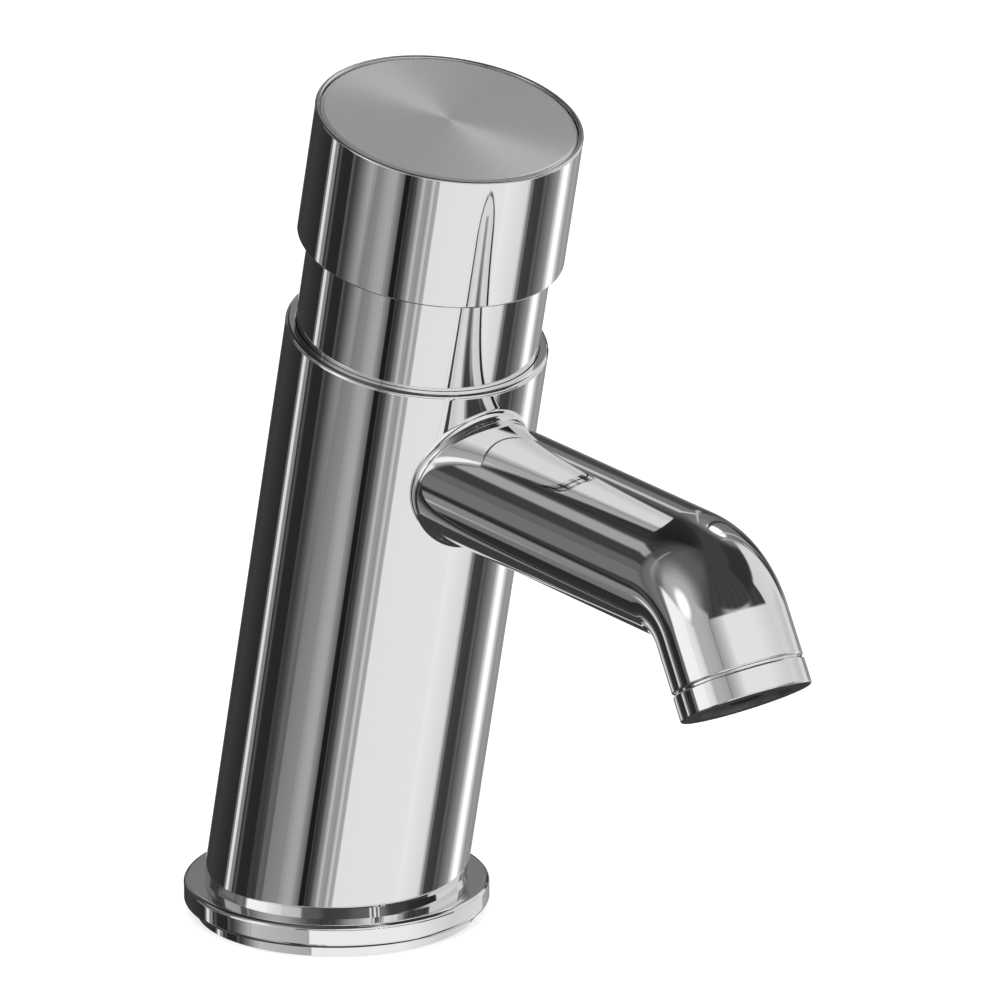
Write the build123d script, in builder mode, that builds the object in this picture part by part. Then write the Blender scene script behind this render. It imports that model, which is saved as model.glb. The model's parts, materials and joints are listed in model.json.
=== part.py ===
from build123d import *
import os
from math import cos, radians, sin

# Self-closing basin tap: a push cap on a leaning barrel, with a round spout that turns down at its end.
# Millimetres, +Z up. The origin is the centre of the underside of the base ring, and the spout points to -Y.
# Heights of the barrel, neck, cap and cartridge are measured along the leaning axis, from the rosette's top.

# Base
base_ring_height = 2.3
base_ring_inset = 2.5
flange_margin = 4.3
flange_height = 4.7
flange_edge_radius = 1.0
seal_groove_width = 4.8
seal_groove_depth = 1.5
seal_groove_margin = 1.6
seal_clearance = 0.05

# Collar between the rosette and the barrel, and the spigot below it
collar_height = 1.9
collar_flare = 0.15
collar_draft = 9.0
collar_overlap = 1.2
spigot_step = 2.65
spigot_wall = 3.5
spigot_clearance = 0.05
foot_seal_section = 0.7
foot_seal_gap = 0.1
foot_seal_groove_width = 1.8

# Barrel, which leans towards the spout
lean = 13.2
foot_offset = 0.42
foot_rise = 1.0
barrel_radius = 25.65
barrel_length = 122.35
barrel_wall = 3.45
barrel_lip_wall = 1.8
barrel_lip_round = 0.9
mouth_depth = 3.85
mouth_gap = 0.15
hollow_foot_height = 6.0
hollow_ceiling_thickness = 7.0

# Spout
spout_radius = 13.0
spout_wall = 3.0
spout_junction_drop = 25.0
spout_slope = 1.3
spout_bend_start = 114.0
spout_bend_radius = 13.7
outlet_tilt = 30.0
spout_root_round = 2.0
throat_radius = 6.5
throat_end = 50.0
spout_end_round = 0.5

# Aerator, measured inwards from its lower face
aerator_ring_height = 5.2
aerator_groove_depth = 0.7
aerator_groove_height = 0.4
aerator_edge_round = 0.4
outlet_wall = 2.0
outlet_thread_clearance = 0.1
outlet_thread_length = 7.4
outlet_thread_margin = 0.9
aerator_wall = 1.3
aerator_lip_width = 0.6
aerator_lip_height = 0.6
insert_clearance = 0.05
insert_hole_radius = 3.3
insert_face_thickness = 1.5
insert_wall = 1.4
regulator_height = 2.2
regulator_recess = 2.2
regulator_hole_radius = 0.8
regulator_hole_circle = 5.0
regulator_hole_count = 8
aerator_seal_height = 1.6
aerator_seal_overlap = 1.4

# Neck sleeve, screwed into the mouth of the barrel
neck_visible = 19.4
neck_shoulder = 1.3
neck_wall = 1.8
neck_thread_length = 6.5
neck_thread_clearance = 0.1
neck_edge_round = 0.4

# Guide ring between neck and cap
guide_ring_height = 4.0
guide_ring_margin = 0.8
guide_groove_depth = 0.9
guide_running_clearance = 0.07

# Push cap
skirt_gap = 0.3
cap_skirt_wall = 2.0
cap_height = 27.3
cap_crown_thickness = 5.0
cap_edge_round = 0.4
cap_rim_width = 0.9
cap_disc_clearance = 0.1
cap_disc_thickness = 1.25
cap_disc_inset = 0.15
cap_disc_round = 1.0
cap_hub_wall = 5.0
cap_hub_height = 4.5
cap_travel = 8.0
cap_stop_gap = 0.55

# Cap screw
cap_screw_radius = 2.0
cap_screw_length = 10.0
cap_screw_head_radius = 4.0
cap_screw_head_height = 2.4
cap_screw_clearance = 0.2
cap_screw_socket_radius = 1.4
cap_screw_socket_depth = 1.4
cap_screw_socket_sides = 6

# Cartridge well in the barrel
well_radius = 17.2
valve_chamber_gap = 2.0
valve_floor_gap = 0.9

# Cartridge shell
shell_clearance = 0.1
shell_annulus = 1.7
shell_wall = 2.0
shell_floor_thickness = 4.0
shell_foot_height = 5.5
shell_recess = 6.0
port_radius = 2.5
port_rise = 11.0
port_count = 6

# Cartridge head
head_flange_gap = 0.9
head_flange_thickness = 2.0
head_nose_length = 6.0
head_land_height = 5.0
head_boss_gap = 1.1
head_boss_height = 4.0
stem_running_clearance = 0.05

# O-rings of the cartridge
o_ring_section = 0.78
o_ring_gap = 0.14
o_ring_groove_width = 2.0
stem_seal_section = 0.7
stem_seal_gap = 0.05
stem_seal_groove_width = 2.0

# Valve
seat_bore_gap = 0.6
seat_nose_wall = 1.0
seat_ring_wall = 2.4
seat_ring_height = 3.0
seat_nose_height = 1.0
seat_gap = 0.1
washer_overlap = 1.0
washer_thickness = 2.0
carrier_margin = 0.4
carrier_thickness = 3.0
carrier_chamfer = 1.0

# Stem, piston and spring
stem_radius = 4.0
stem_pin_radius = 2.6
stem_pin_margin = 5.0
stem_head_gap = 1.0
piston_head_gap = 4.0
piston_length = 6.0
piston_port_gap = 0.5
piston_clearance = 0.1
piston_seal_length = 2.0
piston_seal_clearance = 0.05
piston_seal_width = 3.0
spring_radius = 10.0
spring_wire_radius = 0.9
spring_turns = 7
spring_cup_margin = 1.1
spring_cup_thickness = 2.0
spring_cup_gap = 1.5

# Inlet and fixing stud, upright under the floor of the barrel
boss_rise = 9.0
inlet_offset = 10.5
inlet_boss_wall = 3.0
inlet_thread_radius = 5.0
inlet_thread_length = 12.0
inlet_bore_radius = 3.5
strainer_radius = 4.2
strainer_clearance = 0.05
strainer_length = 8.0
strainer_wall = 0.5
strainer_hole_radius = 0.6
strainer_hole_rows = 3
strainer_holes_round = 8
stud_offset = 8.5
stud_boss_wall = 3.0
stud_thread_radius = 4.0
stud_thread_length = 18.0

# Radii that follow from the barrel
mouth_radius = barrel_radius - barrel_lip_wall
neck_radius = mouth_radius - mouth_gap
neck_thread_radius = neck_radius - neck_shoulder
neck_bore_radius = neck_thread_radius - neck_thread_clearance - neck_wall
skirt_bore_radius = neck_radius + skirt_gap
cap_radius = skirt_bore_radius + cap_skirt_wall
cap_disc_radius = cap_radius - cap_rim_width - cap_disc_clearance
collar_foot_radius = barrel_radius + collar_flare
flange_radius = collar_foot_radius + flange_margin
base_ring_radius = flange_radius - base_ring_inset
spigot_radius = barrel_radius - spigot_step
passage_radius = spigot_radius - spigot_wall
hollow_radius = barrel_radius - barrel_wall
flange_bore_radius = spigot_radius + spigot_clearance
foot_seal_groove_radius = flange_bore_radius - 2 * foot_seal_section - foot_seal_gap
head_flange_radius = neck_thread_radius - head_flange_gap

# Radii that follow from the cartridge well, the stem and the spring
shell_foot_radius = well_radius - shell_clearance
shell_waist_radius = well_radius - shell_annulus
shell_bore_radius = shell_waist_radius - shell_wall
o_ring_groove_radius = well_radius - 2 * o_ring_section - o_ring_gap
stem_bore_radius = stem_radius + stem_running_clearance
stem_groove_radius = stem_bore_radius + 2 * stem_seal_section + stem_seal_gap
seat_bore_radius = stem_radius + seat_bore_gap
seat_nose_radius = seat_bore_radius + seat_nose_wall
seat_outer_radius = seat_nose_radius + seat_ring_wall
washer_radius = seat_nose_radius + washer_overlap
carrier_radius = washer_radius + carrier_margin
valve_chamber_radius = carrier_radius + valve_chamber_gap
head_boss_radius = spring_radius - spring_wire_radius - head_boss_gap
spring_cup_radius = spring_radius + spring_wire_radius + spring_cup_margin

# Heights along the leaning axis, from the mouth of the barrel up to the top of the cap
neck_seat_height = barrel_length - mouth_depth
neck_thread_bottom = neck_seat_height - neck_thread_length
cap_bottom_height = barrel_length + neck_visible
cap_top_height = cap_bottom_height + cap_height
crown_underside = cap_top_height - cap_crown_thickness
hub_bottom = crown_underside - cap_hub_height
neck_top_height = crown_underside - cap_travel - cap_stop_gap
guide_groove_top = neck_top_height - guide_ring_margin
guide_groove_bottom = guide_groove_top - guide_ring_height
disc_seat_height = cap_top_height - cap_disc_inset - cap_disc_thickness
screw_seat_height = disc_seat_height - cap_screw_head_height - cap_screw_clearance
screw_hole_bottom = screw_seat_height - cap_screw_length
stem_top_height = screw_seat_height - stem_head_gap
spring_cup_height = hub_bottom - spring_cup_gap - spring_cup_thickness

# Heights along the leaning axis, from the cartridge head down to the ceiling of the hollow
well_shoulder_height = neck_thread_bottom - head_flange_thickness
land_bottom = well_shoulder_height - head_land_height
upper_groove_middle = well_shoulder_height - head_land_height / 2
shell_top_height = well_shoulder_height - shell_recess
nose_bottom = shell_top_height - head_nose_length
stem_groove_middle = shell_top_height - head_nose_length / 2
piston_height = nose_bottom - piston_head_gap - piston_length
port_height = piston_height - piston_seal_length - cap_travel - piston_port_gap - port_radius
well_floor_height = port_height - port_rise
lower_groove_middle = well_floor_height + shell_foot_height / 2
stem_pin_top = well_floor_height + seat_ring_height + stem_pin_margin
seat_bottom = well_floor_height - seat_nose_height
washer_bottom = seat_bottom - seat_gap - washer_thickness
carrier_bottom = washer_bottom - carrier_thickness
valve_chamber_floor = carrier_bottom - cap_travel - valve_floor_gap
hollow_ceiling_height = valve_chamber_floor - hollow_ceiling_thickness

# Upright heights at the foot
flange_top = base_ring_height + flange_height
foot_seal_height = base_ring_height + flange_height / 2
boss_bottom = flange_top + boss_rise
strainer_bottom = boss_bottom + inlet_thread_length
inlet_boss_radius = inlet_thread_radius + inlet_boss_wall
stud_boss_radius = stud_thread_radius + stud_boss_wall

# Outlet, with heights measured inwards from the aerator's lower face
spout_bore_radius = spout_radius - spout_wall
outlet_thread_radius = spout_radius - outlet_wall
aerator_thread_radius = outlet_thread_radius - outlet_thread_clearance
aerator_bore_radius = aerator_thread_radius - aerator_wall
aerator_lip_radius = aerator_bore_radius - aerator_lip_width
aerator_seal_bore = aerator_bore_radius - aerator_seal_overlap
insert_radius = aerator_bore_radius - insert_clearance
tube_end_height = aerator_ring_height + aerator_groove_height
housing_top = tube_end_height + outlet_thread_length
regulator_bottom = housing_top - regulator_recess - regulator_height
outlet_straight = housing_top + aerator_seal_height + outlet_thread_margin

# Leaning frame of the tap
foot_centre = Vector(0, foot_offset, flange_top)
tap_direction = Vector(0, -sin(radians(lean)), cos(radians(lean)))
tap_plane = Plane(origin=foot_centre, x_dir=(1, 0, 0), z_dir=tap_direction)
tap_axis = Axis(foot_centre, tap_direction)
tap_section = Plane(origin=foot_centre, x_dir=(1, 0, 0), z_dir=tap_direction.cross(Vector(-1, 0, 0)))

# Centre line of the spout, and the tilted frame of its outlet
spout_direction = Vector(0, -cos(radians(spout_slope)), -sin(radians(spout_slope)))
spout_start = foot_centre + tap_direction * (barrel_length - spout_junction_drop)
spout_run = (spout_bend_start + spout_start.Y) / cos(radians(spout_slope))
spout_bend_point = spout_start + spout_direction * spout_run
bend_angle = 90 - outlet_tilt - spout_slope
bend_inward = Vector(0, sin(radians(spout_slope)), -cos(radians(spout_slope)))
bend_centre = spout_bend_point + bend_inward * spout_bend_radius
outlet_outward = Vector(0, -cos(radians(outlet_tilt)), sin(radians(outlet_tilt)))
outlet_direction = Vector(0, -sin(radians(outlet_tilt)), -cos(radians(outlet_tilt)))
outlet_centre = bend_centre + outlet_outward * spout_bend_radius + outlet_direction * outlet_straight
outlet_plane = Plane(origin=outlet_centre, x_dir=(1, 0, 0), z_dir=-outlet_direction)
outlet_axis = Axis(outlet_centre, -outlet_direction)
outlet_section = Plane(origin=outlet_centre, x_dir=(1, 0, 0), z_dir=outlet_direction.cross(Vector(1, 0, 0)))

os.makedirs("parts", exist_ok=True)


def turned_profile(section, corners):
    """A closed profile with the given (radius, height) corners, drawn on a plane that holds the axis."""
    with BuildSketch(section) as profile:
        with BuildLine():
            Polyline(*corners, close=True)
        make_face()
    return profile.sketch


def o_ring_profile(section, ring_radius, height, section_radius):
    """The round section of an O-ring whose centre circle has the given radius and height."""
    with BuildSketch(section) as profile:
        with Locations((ring_radius, height)):
            Circle(section_radius)
    return profile.sketch


def spout_path(start):
    """The spout's centre line from a point on its level run, round the bend to the end of the tube."""
    with BuildLine(Plane.YZ) as path:
        run = Line((start.Y, start.Z), (spout_bend_point.Y, spout_bend_point.Z))
        bend = JernArc(run @ 1, run % 1, spout_bend_radius, bend_angle)
        Line(bend @ 1, bend @ 1 + (bend % 1) * (outlet_straight - tube_end_height))
    return path.wires()[0]


# Hollow of the barrel, open at the foot, with the bosses for the inlet and the fixing stud left standing
spigot_bottom = base_ring_height
with BuildPart() as barrel_hollow:
    with BuildSketch(tap_plane.offset(hollow_foot_height)):
        Circle(hollow_radius)
    extrude(amount=hollow_ceiling_height - hollow_foot_height)
    with BuildSketch(Plane.XY.offset(boss_bottom)):
        with Locations((0, -inlet_offset)):
            Circle(inlet_boss_radius)
        with Locations((0, stud_offset)):
            Circle(stud_boss_radius)
    extrude(amount=hollow_ceiling_height + hollow_radius, mode=Mode.SUBTRACT)
    with BuildSketch(Plane.XY.offset(spigot_bottom)):
        Circle(passage_radius)
    extrude(amount=boss_bottom - spigot_bottom)

# Tap body: barrel, upright collar and spigot, and spout in one casting
barrel_foot = Plane(
    origin=(0, 0, flange_top + collar_height),
    x_dir=(1, 0, 0),
    z_dir=(0, sin(radians(foot_rise)), cos(radians(foot_rise))),
)
with BuildPart() as tap_body:
    with BuildSketch(tap_plane.offset(-barrel_radius)):
        Circle(barrel_radius)
    extrude(amount=barrel_length + barrel_radius)
    split(bisect_by=barrel_foot, keep=Keep.TOP)
    with BuildSketch(Plane(origin=spout_start, x_dir=(1, 0, 0), z_dir=spout_direction)):
        Circle(spout_radius)
    sweep(path=spout_path(spout_start))
    root_edges = edges().filter_by(GeomType.BSPLINE)
    fillet(root_edges, radius=spout_root_round)
    lip_edge = edges().filter_by(GeomType.CIRCLE).sort_by(tap_axis)[-1]
    fillet(lip_edge, radius=barrel_lip_round)
    spout_end_edge = edges().filter_by(GeomType.CIRCLE).sort_by(outlet_axis)[0]
    fillet(spout_end_edge, radius=spout_end_round)
    # Upright collar on the rosette and spigot through it
    with BuildSketch(Plane.XY.offset(flange_top)):
        Circle(collar_foot_radius)
    extrude(amount=collar_height + collar_overlap, taper=collar_draft)
    with BuildSketch(Plane.XY.offset(spigot_bottom)):
        Circle(spigot_radius)
    extrude(amount=flange_top - spigot_bottom)
    add(barrel_hollow.part, mode=Mode.SUBTRACT)
    with BuildSketch(Plane.XY.offset(boss_bottom)):
        with Locations((0, stud_offset)):
            Circle(stud_thread_radius)
    extrude(amount=stud_thread_length, mode=Mode.SUBTRACT)
    # Mouth, sleeve thread, cartridge well and valve chamber, from the top down
    revolve(
        turned_profile(
            tap_section,
            [
                (0, barrel_length),
                (mouth_radius, barrel_length),
                (mouth_radius, neck_seat_height),
                (neck_thread_radius, neck_seat_height),
                (neck_thread_radius, well_shoulder_height),
                (well_radius, well_shoulder_height),
                (well_radius, well_floor_height),
                (valve_chamber_radius, well_floor_height),
                (valve_chamber_radius, valve_chamber_floor),
                (0, valve_chamber_floor),
            ],
        ),
        axis=tap_axis,
        mode=Mode.SUBTRACT,
    )
    # Inlet from below
    chamber_floor_centre = foot_centre + tap_direction * valve_chamber_floor
    with BuildSketch(Plane.XY.offset(boss_bottom)):
        with Locations((0, -inlet_offset)):
            Circle(inlet_bore_radius)
    extrude(amount=chamber_floor_centre.Z - boss_bottom + inlet_bore_radius, mode=Mode.SUBTRACT)
    with BuildSketch(Plane.XY.offset(strainer_bottom)):
        with Locations((0, -inlet_offset)):
            Circle(strainer_radius)
    extrude(amount=strainer_length, mode=Mode.SUBTRACT)
    with BuildSketch(Plane.XY.offset(boss_bottom)):
        with Locations((0, -inlet_offset)):
            Circle(inlet_thread_radius)
    extrude(amount=inlet_thread_length, mode=Mode.SUBTRACT)
    # Waterway of the spout: a narrow throat from the well, then the wide bore to the outlet thread
    with BuildSketch(Plane(origin=spout_start, x_dir=(1, 0, 0), z_dir=spout_direction)):
        Circle(throat_radius)
    extrude(amount=throat_end, mode=Mode.SUBTRACT)
    throat_point = spout_start + spout_direction * throat_end
    with BuildSketch(Plane(origin=throat_point, x_dir=(1, 0, 0), z_dir=spout_direction)):
        Circle(spout_bore_radius)
    sweep(path=spout_path(throat_point), mode=Mode.SUBTRACT)
    with BuildSketch(outlet_plane.offset(tube_end_height)):
        Circle(outlet_thread_radius)
    extrude(amount=outlet_thread_length + aerator_seal_height, mode=Mode.SUBTRACT)
    # Groove for the O-ring of the spigot
    with BuildSketch(Plane.XY.offset(foot_seal_height - foot_seal_groove_width / 2)):
        Circle(spigot_radius)
        Circle(foot_seal_groove_radius, mode=Mode.SUBTRACT)
    extrude(amount=foot_seal_groove_width, mode=Mode.SUBTRACT)
tap_body.part.label = "tap_body"
export_step(tap_body.part, "parts/tap_body.step")

# Base flange, the rosette round the spigot
with BuildPart() as base_flange:
    with BuildSketch(Plane.XY.offset(base_ring_height)):
        Circle(flange_radius)
        Circle(flange_bore_radius, mode=Mode.SUBTRACT)
    extrude(amount=flange_height)
    outer_edges = edges().filter_by(GeomType.CIRCLE).sort_by(SortBy.RADIUS)[-2:]
    fillet(outer_edges, radius=flange_edge_radius)
base_flange.part.label = "base_flange"
export_step(base_flange.part, "parts/base_flange.step")

# Base ring under the flange, with a groove for its gasket
groove_outer = base_ring_radius - seal_groove_margin
groove_inner = groove_outer - seal_groove_width
with BuildPart() as base_ring:
    with BuildSketch(Plane.XY):
        Circle(base_ring_radius)
        Circle(passage_radius, mode=Mode.SUBTRACT)
    extrude(amount=base_ring_height)
    with BuildSketch(Plane.XY):
        Circle(groove_outer)
        Circle(groove_inner, mode=Mode.SUBTRACT)
    extrude(amount=seal_groove_depth, mode=Mode.SUBTRACT)
base_ring.part.label = "base_ring"
export_step(base_ring.part, "parts/base_ring.step")

with BuildPart() as base_seal:
    with BuildSketch(Plane.XY):
        Circle(groove_outer - seal_clearance)
        Circle(groove_inner + seal_clearance, mode=Mode.SUBTRACT)
    extrude(amount=seal_groove_depth)
base_seal.part.label = "base_seal"
export_step(base_seal.part, "parts/base_seal.step")

with BuildPart() as foot_seal:
    foot_ring_radius = flange_bore_radius - foot_seal_section
    revolve(o_ring_profile(Plane.XZ, foot_ring_radius, foot_seal_height, foot_seal_section), axis=Axis.Z)
foot_seal.part.label = "foot_seal"
export_step(foot_seal.part, "parts/foot_seal.step")

# Neck sleeve: the polished neck, with its thread in the mouth of the barrel
guide_groove_radius = neck_radius - guide_groove_depth
with BuildPart() as neck_sleeve:
    revolve(
        turned_profile(
            tap_section,
            [
                (neck_bore_radius, neck_thread_bottom),
                (neck_thread_radius - neck_thread_clearance, neck_thread_bottom),
                (neck_thread_radius - neck_thread_clearance, neck_seat_height),
                (neck_radius, neck_seat_height),
                (neck_radius, guide_groove_bottom),
                (guide_groove_radius, guide_groove_bottom),
                (guide_groove_radius, guide_groove_top),
                (neck_radius, guide_groove_top),
                (neck_radius, neck_top_height),
                (neck_bore_radius, neck_top_height),
            ],
        ),
        axis=tap_axis,
    )
    top_edge = edges().filter_by(GeomType.CIRCLE).group_by(tap_axis)[-1].sort_by(SortBy.RADIUS)[-1]
    fillet(top_edge, radius=neck_edge_round)
neck_sleeve.part.label = "neck_sleeve"
export_step(neck_sleeve.part, "parts/neck_sleeve.step")

# Guide ring that centres the cap's skirt on the neck
with BuildPart() as guide_ring:
    with BuildSketch(tap_plane.offset(guide_groove_bottom)):
        Circle(skirt_bore_radius - guide_running_clearance)
        Circle(guide_groove_radius, mode=Mode.SUBTRACT)
    extrude(amount=guide_ring_height)
guide_ring.part.label = "guide_ring"
export_step(guide_ring.part, "parts/guide_ring.step")

# Cap shell: skirt, crown with a shallow seat for the disc, and the hub for the stem
with BuildPart() as cap_shell:
    revolve(
        turned_profile(
            tap_section,
            [
                (skirt_bore_radius, cap_bottom_height),
                (cap_radius, cap_bottom_height),
                (cap_radius, cap_top_height),
                (cap_disc_radius + cap_disc_clearance, cap_top_height),
                (cap_disc_radius + cap_disc_clearance, disc_seat_height),
                (cap_screw_head_radius + cap_screw_clearance, disc_seat_height),
                (cap_screw_head_radius + cap_screw_clearance, screw_seat_height),
                (cap_screw_radius + cap_screw_clearance, screw_seat_height),
                (cap_screw_radius + cap_screw_clearance, stem_top_height),
                (stem_radius, stem_top_height),
                (stem_radius, hub_bottom),
                (stem_radius + cap_hub_wall, hub_bottom),
                (stem_radius + cap_hub_wall, crown_underside),
                (skirt_bore_radius, crown_underside),
            ],
        ),
        axis=tap_axis,
    )
    outside_edges = edges().filter_by(GeomType.CIRCLE).sort_by(SortBy.RADIUS)[-2:]
    fillet(outside_edges, radius=cap_edge_round)
cap_shell.part.label = "cap_shell"
export_step(cap_shell.part, "parts/cap_shell.step")

# Top disc, spun and matt, over the cap screw
with BuildPart() as cap_top_disc:
    with BuildSketch(tap_plane.offset(disc_seat_height)):
        Circle(cap_disc_radius)
    extrude(amount=cap_disc_thickness)
    rim_edge = edges().filter_by(GeomType.CIRCLE).sort_by(tap_axis)[-1]
    fillet(rim_edge, radius=cap_disc_round)
cap_top_disc.part.label = "cap_top_disc"
export_step(cap_top_disc.part, "parts/cap_top_disc.step")

# Cap screw, from the crown into the stem
with BuildPart() as cap_screw:
    revolve(
        turned_profile(
            tap_section,
            [
                (0, screw_seat_height - cap_screw_length),
                (cap_screw_radius, screw_seat_height - cap_screw_length),
                (cap_screw_radius, screw_seat_height),
                (cap_screw_head_radius, screw_seat_height),
                (cap_screw_head_radius, screw_seat_height + cap_screw_head_height),
                (0, screw_seat_height + cap_screw_head_height),
            ],
        ),
        axis=tap_axis,
    )
    with BuildSketch(tap_plane.offset(screw_seat_height + cap_screw_head_height)):
        RegularPolygon(cap_screw_socket_radius, cap_screw_socket_sides)
    extrude(amount=-cap_screw_socket_depth, mode=Mode.SUBTRACT)
cap_screw.part.label = "cap_screw"
export_step(cap_screw.part, "parts/cap_screw.step")

# Cartridge shell with its outlet ports
port_plane = Plane(origin=foot_centre + tap_direction * port_height, x_dir=tap_direction, z_dir=(1, 0, 0))
lower_groove_bottom = lower_groove_middle - o_ring_groove_width / 2
lower_groove_top = lower_groove_middle + o_ring_groove_width / 2
with BuildPart() as cartridge_shell:
    revolve(
        turned_profile(
            tap_section,
            [
                (seat_outer_radius, well_floor_height),
                (shell_foot_radius, well_floor_height),
                (shell_foot_radius, lower_groove_bottom),
                (o_ring_groove_radius, lower_groove_bottom),
                (o_ring_groove_radius, lower_groove_top),
                (shell_foot_radius, lower_groove_top),
                (shell_foot_radius, well_floor_height + shell_foot_height),
                (shell_waist_radius, well_floor_height + shell_foot_height),
                (shell_waist_radius, shell_top_height),
                (shell_bore_radius, shell_top_height),
                (shell_bore_radius, well_floor_height + shell_floor_thickness),
                (seat_outer_radius, well_floor_height + shell_floor_thickness),
            ],
        ),
        axis=tap_axis,
    )
    for port in range(port_count):
        with BuildSketch(port_plane.rotated((360 / port_count * port, 0, 0))):
            Circle(port_radius)
        extrude(amount=shell_foot_radius, mode=Mode.SUBTRACT)
cartridge_shell.part.label = "cartridge_shell"
export_step(cartridge_shell.part, "parts/cartridge_shell.step")

# Valve seat, pressed into the floor of the shell, with its nose downwards
with BuildPart() as valve_seat:
    revolve(
        turned_profile(
            tap_section,
            [
                (seat_bore_radius, seat_bottom),
                (seat_nose_radius, seat_bottom),
                (seat_nose_radius, well_floor_height),
                (seat_outer_radius, well_floor_height),
                (seat_outer_radius, well_floor_height + seat_ring_height),
                (seat_bore_radius, well_floor_height + seat_ring_height),
            ],
        ),
        axis=tap_axis,
    )
valve_seat.part.label = "valve_seat"
export_step(valve_seat.part, "parts/valve_seat.step")

# Cartridge head: nose in the shell, land with an O-ring in the well, flange under the neck sleeve
upper_groove_bottom = upper_groove_middle - o_ring_groove_width / 2
upper_groove_top = upper_groove_middle + o_ring_groove_width / 2
boss_top = neck_thread_bottom + head_boss_height
stem_groove_bottom = stem_groove_middle - stem_seal_groove_width / 2
stem_groove_top = stem_groove_middle + stem_seal_groove_width / 2
with BuildPart() as cartridge_head:
    revolve(
        turned_profile(
            tap_section,
            [
                (stem_bore_radius, nose_bottom),
                (shell_bore_radius, nose_bottom),
                (shell_bore_radius, shell_top_height),
                (shell_waist_radius, shell_top_height),
                (shell_waist_radius, land_bottom),
                (shell_foot_radius, land_bottom),
                (shell_foot_radius, upper_groove_bottom),
                (o_ring_groove_radius, upper_groove_bottom),
                (o_ring_groove_radius, upper_groove_top),
                (shell_foot_radius, upper_groove_top),
                (shell_foot_radius, well_shoulder_height),
                (head_flange_radius, well_shoulder_height),
                (head_flange_radius, neck_thread_bottom),
                (head_boss_radius, neck_thread_bottom),
                (head_boss_radius, boss_top),
                (stem_bore_radius, boss_top),
                (stem_bore_radius, stem_groove_top),
                (stem_groove_radius, stem_groove_top),
                (stem_groove_radius, stem_groove_bottom),
                (stem_bore_radius, stem_groove_bottom),
            ],
        ),
        axis=tap_axis,
    )
cartridge_head.part.label = "cartridge_head"
export_step(cartridge_head.part, "parts/cartridge_head.step")

# O-rings of the cartridge, two between cartridge and well and one round the stem
with BuildPart() as cartridge_seals:
    seal_radius = well_radius - o_ring_section
    revolve(o_ring_profile(tap_section, seal_radius, lower_groove_middle, o_ring_section), axis=tap_axis)
    revolve(o_ring_profile(tap_section, seal_radius, upper_groove_middle, o_ring_section), axis=tap_axis)
cartridge_seals.part.label = "cartridge_seals"
export_step(cartridge_seals.part, "parts/cartridge_seals.step")

with BuildPart() as stem_seal:
    ring_radius = stem_groove_radius - stem_seal_section
    revolve(o_ring_profile(tap_section, ring_radius, stem_groove_middle, stem_seal_section), axis=tap_axis)
stem_seal.part.label = "stem_seal"
export_step(stem_seal.part, "parts/stem_seal.step")

# Stem: thin pin through the seat, then the full rod up into the hub of the cap
with BuildPart() as stem:
    revolve(
        turned_profile(
            tap_section,
            [
                (0, carrier_bottom),
                (stem_pin_radius, carrier_bottom),
                (stem_pin_radius, stem_pin_top),
                (stem_radius, stem_pin_top),
                (stem_radius, stem_top_height),
                (cap_screw_radius, stem_top_height),
                (cap_screw_radius, screw_hole_bottom),
                (0, screw_hole_bottom),
            ],
        ),
        axis=tap_axis,
    )
stem.part.label = "stem"
export_step(stem.part, "parts/stem.step")

# Dash-pot piston and its lip seal
with BuildPart() as piston:
    with BuildSketch(tap_plane.offset(piston_height)):
        Circle(shell_bore_radius - piston_clearance)
        Circle(stem_radius, mode=Mode.SUBTRACT)
    extrude(amount=piston_length)
piston.part.label = "piston"
export_step(piston.part, "parts/piston.step")

with BuildPart() as piston_seal:
    with BuildSketch(tap_plane.offset(piston_height - piston_seal_length)):
        Circle(shell_bore_radius - piston_seal_clearance)
        Circle(shell_bore_radius - piston_seal_width, mode=Mode.SUBTRACT)
    extrude(amount=piston_seal_length)
piston_seal.part.label = "piston_seal"
export_step(piston_seal.part, "parts/piston_seal.step")

# Valve washer and its carrier, under the seat
with BuildPart() as valve_washer:
    with BuildSketch(tap_plane.offset(washer_bottom)):
        Circle(washer_radius)
        Circle(stem_pin_radius, mode=Mode.SUBTRACT)
    extrude(amount=washer_thickness)
valve_washer.part.label = "valve_washer"
export_step(valve_washer.part, "parts/valve_washer.step")

with BuildPart() as valve_carrier:
    with BuildSketch(tap_plane.offset(carrier_bottom)):
        Circle(carrier_radius)
        Circle(stem_pin_radius, mode=Mode.SUBTRACT)
    extrude(amount=carrier_thickness)
    foot_edge = edges().filter_by(GeomType.CIRCLE).group_by(tap_axis)[0].sort_by(SortBy.RADIUS)[-1]
    chamfer(foot_edge, length=carrier_chamfer)
valve_carrier.part.label = "valve_carrier"
export_step(valve_carrier.part, "parts/valve_carrier.step")

# Spring cup on the stem and the return spring that stands on the head's flange
with BuildPart() as spring_cup:
    with BuildSketch(tap_plane.offset(spring_cup_height)):
        Circle(spring_cup_radius)
        Circle(stem_radius, mode=Mode.SUBTRACT)
    extrude(amount=spring_cup_thickness)
spring_cup.part.label = "spring_cup"
export_step(spring_cup.part, "parts/spring_cup.step")

spring_rise = spring_cup_height - neck_thread_bottom - 2 * spring_wire_radius
spring_foot = foot_centre + tap_direction * (neck_thread_bottom + spring_wire_radius)
with BuildPart() as return_spring:
    with BuildLine():
        coil = Helix(
            pitch=spring_rise / spring_turns,
            height=spring_rise,
            radius=spring_radius,
            center=spring_foot,
            direction=tap_direction,
        )
    with BuildSketch(Plane(origin=coil @ 0, z_dir=coil % 0)):
        Circle(spring_wire_radius)
    sweep(path=coil, is_frenet=True)
return_spring.part.label = "return_spring"
export_step(return_spring.part, "parts/return_spring.step")

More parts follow.
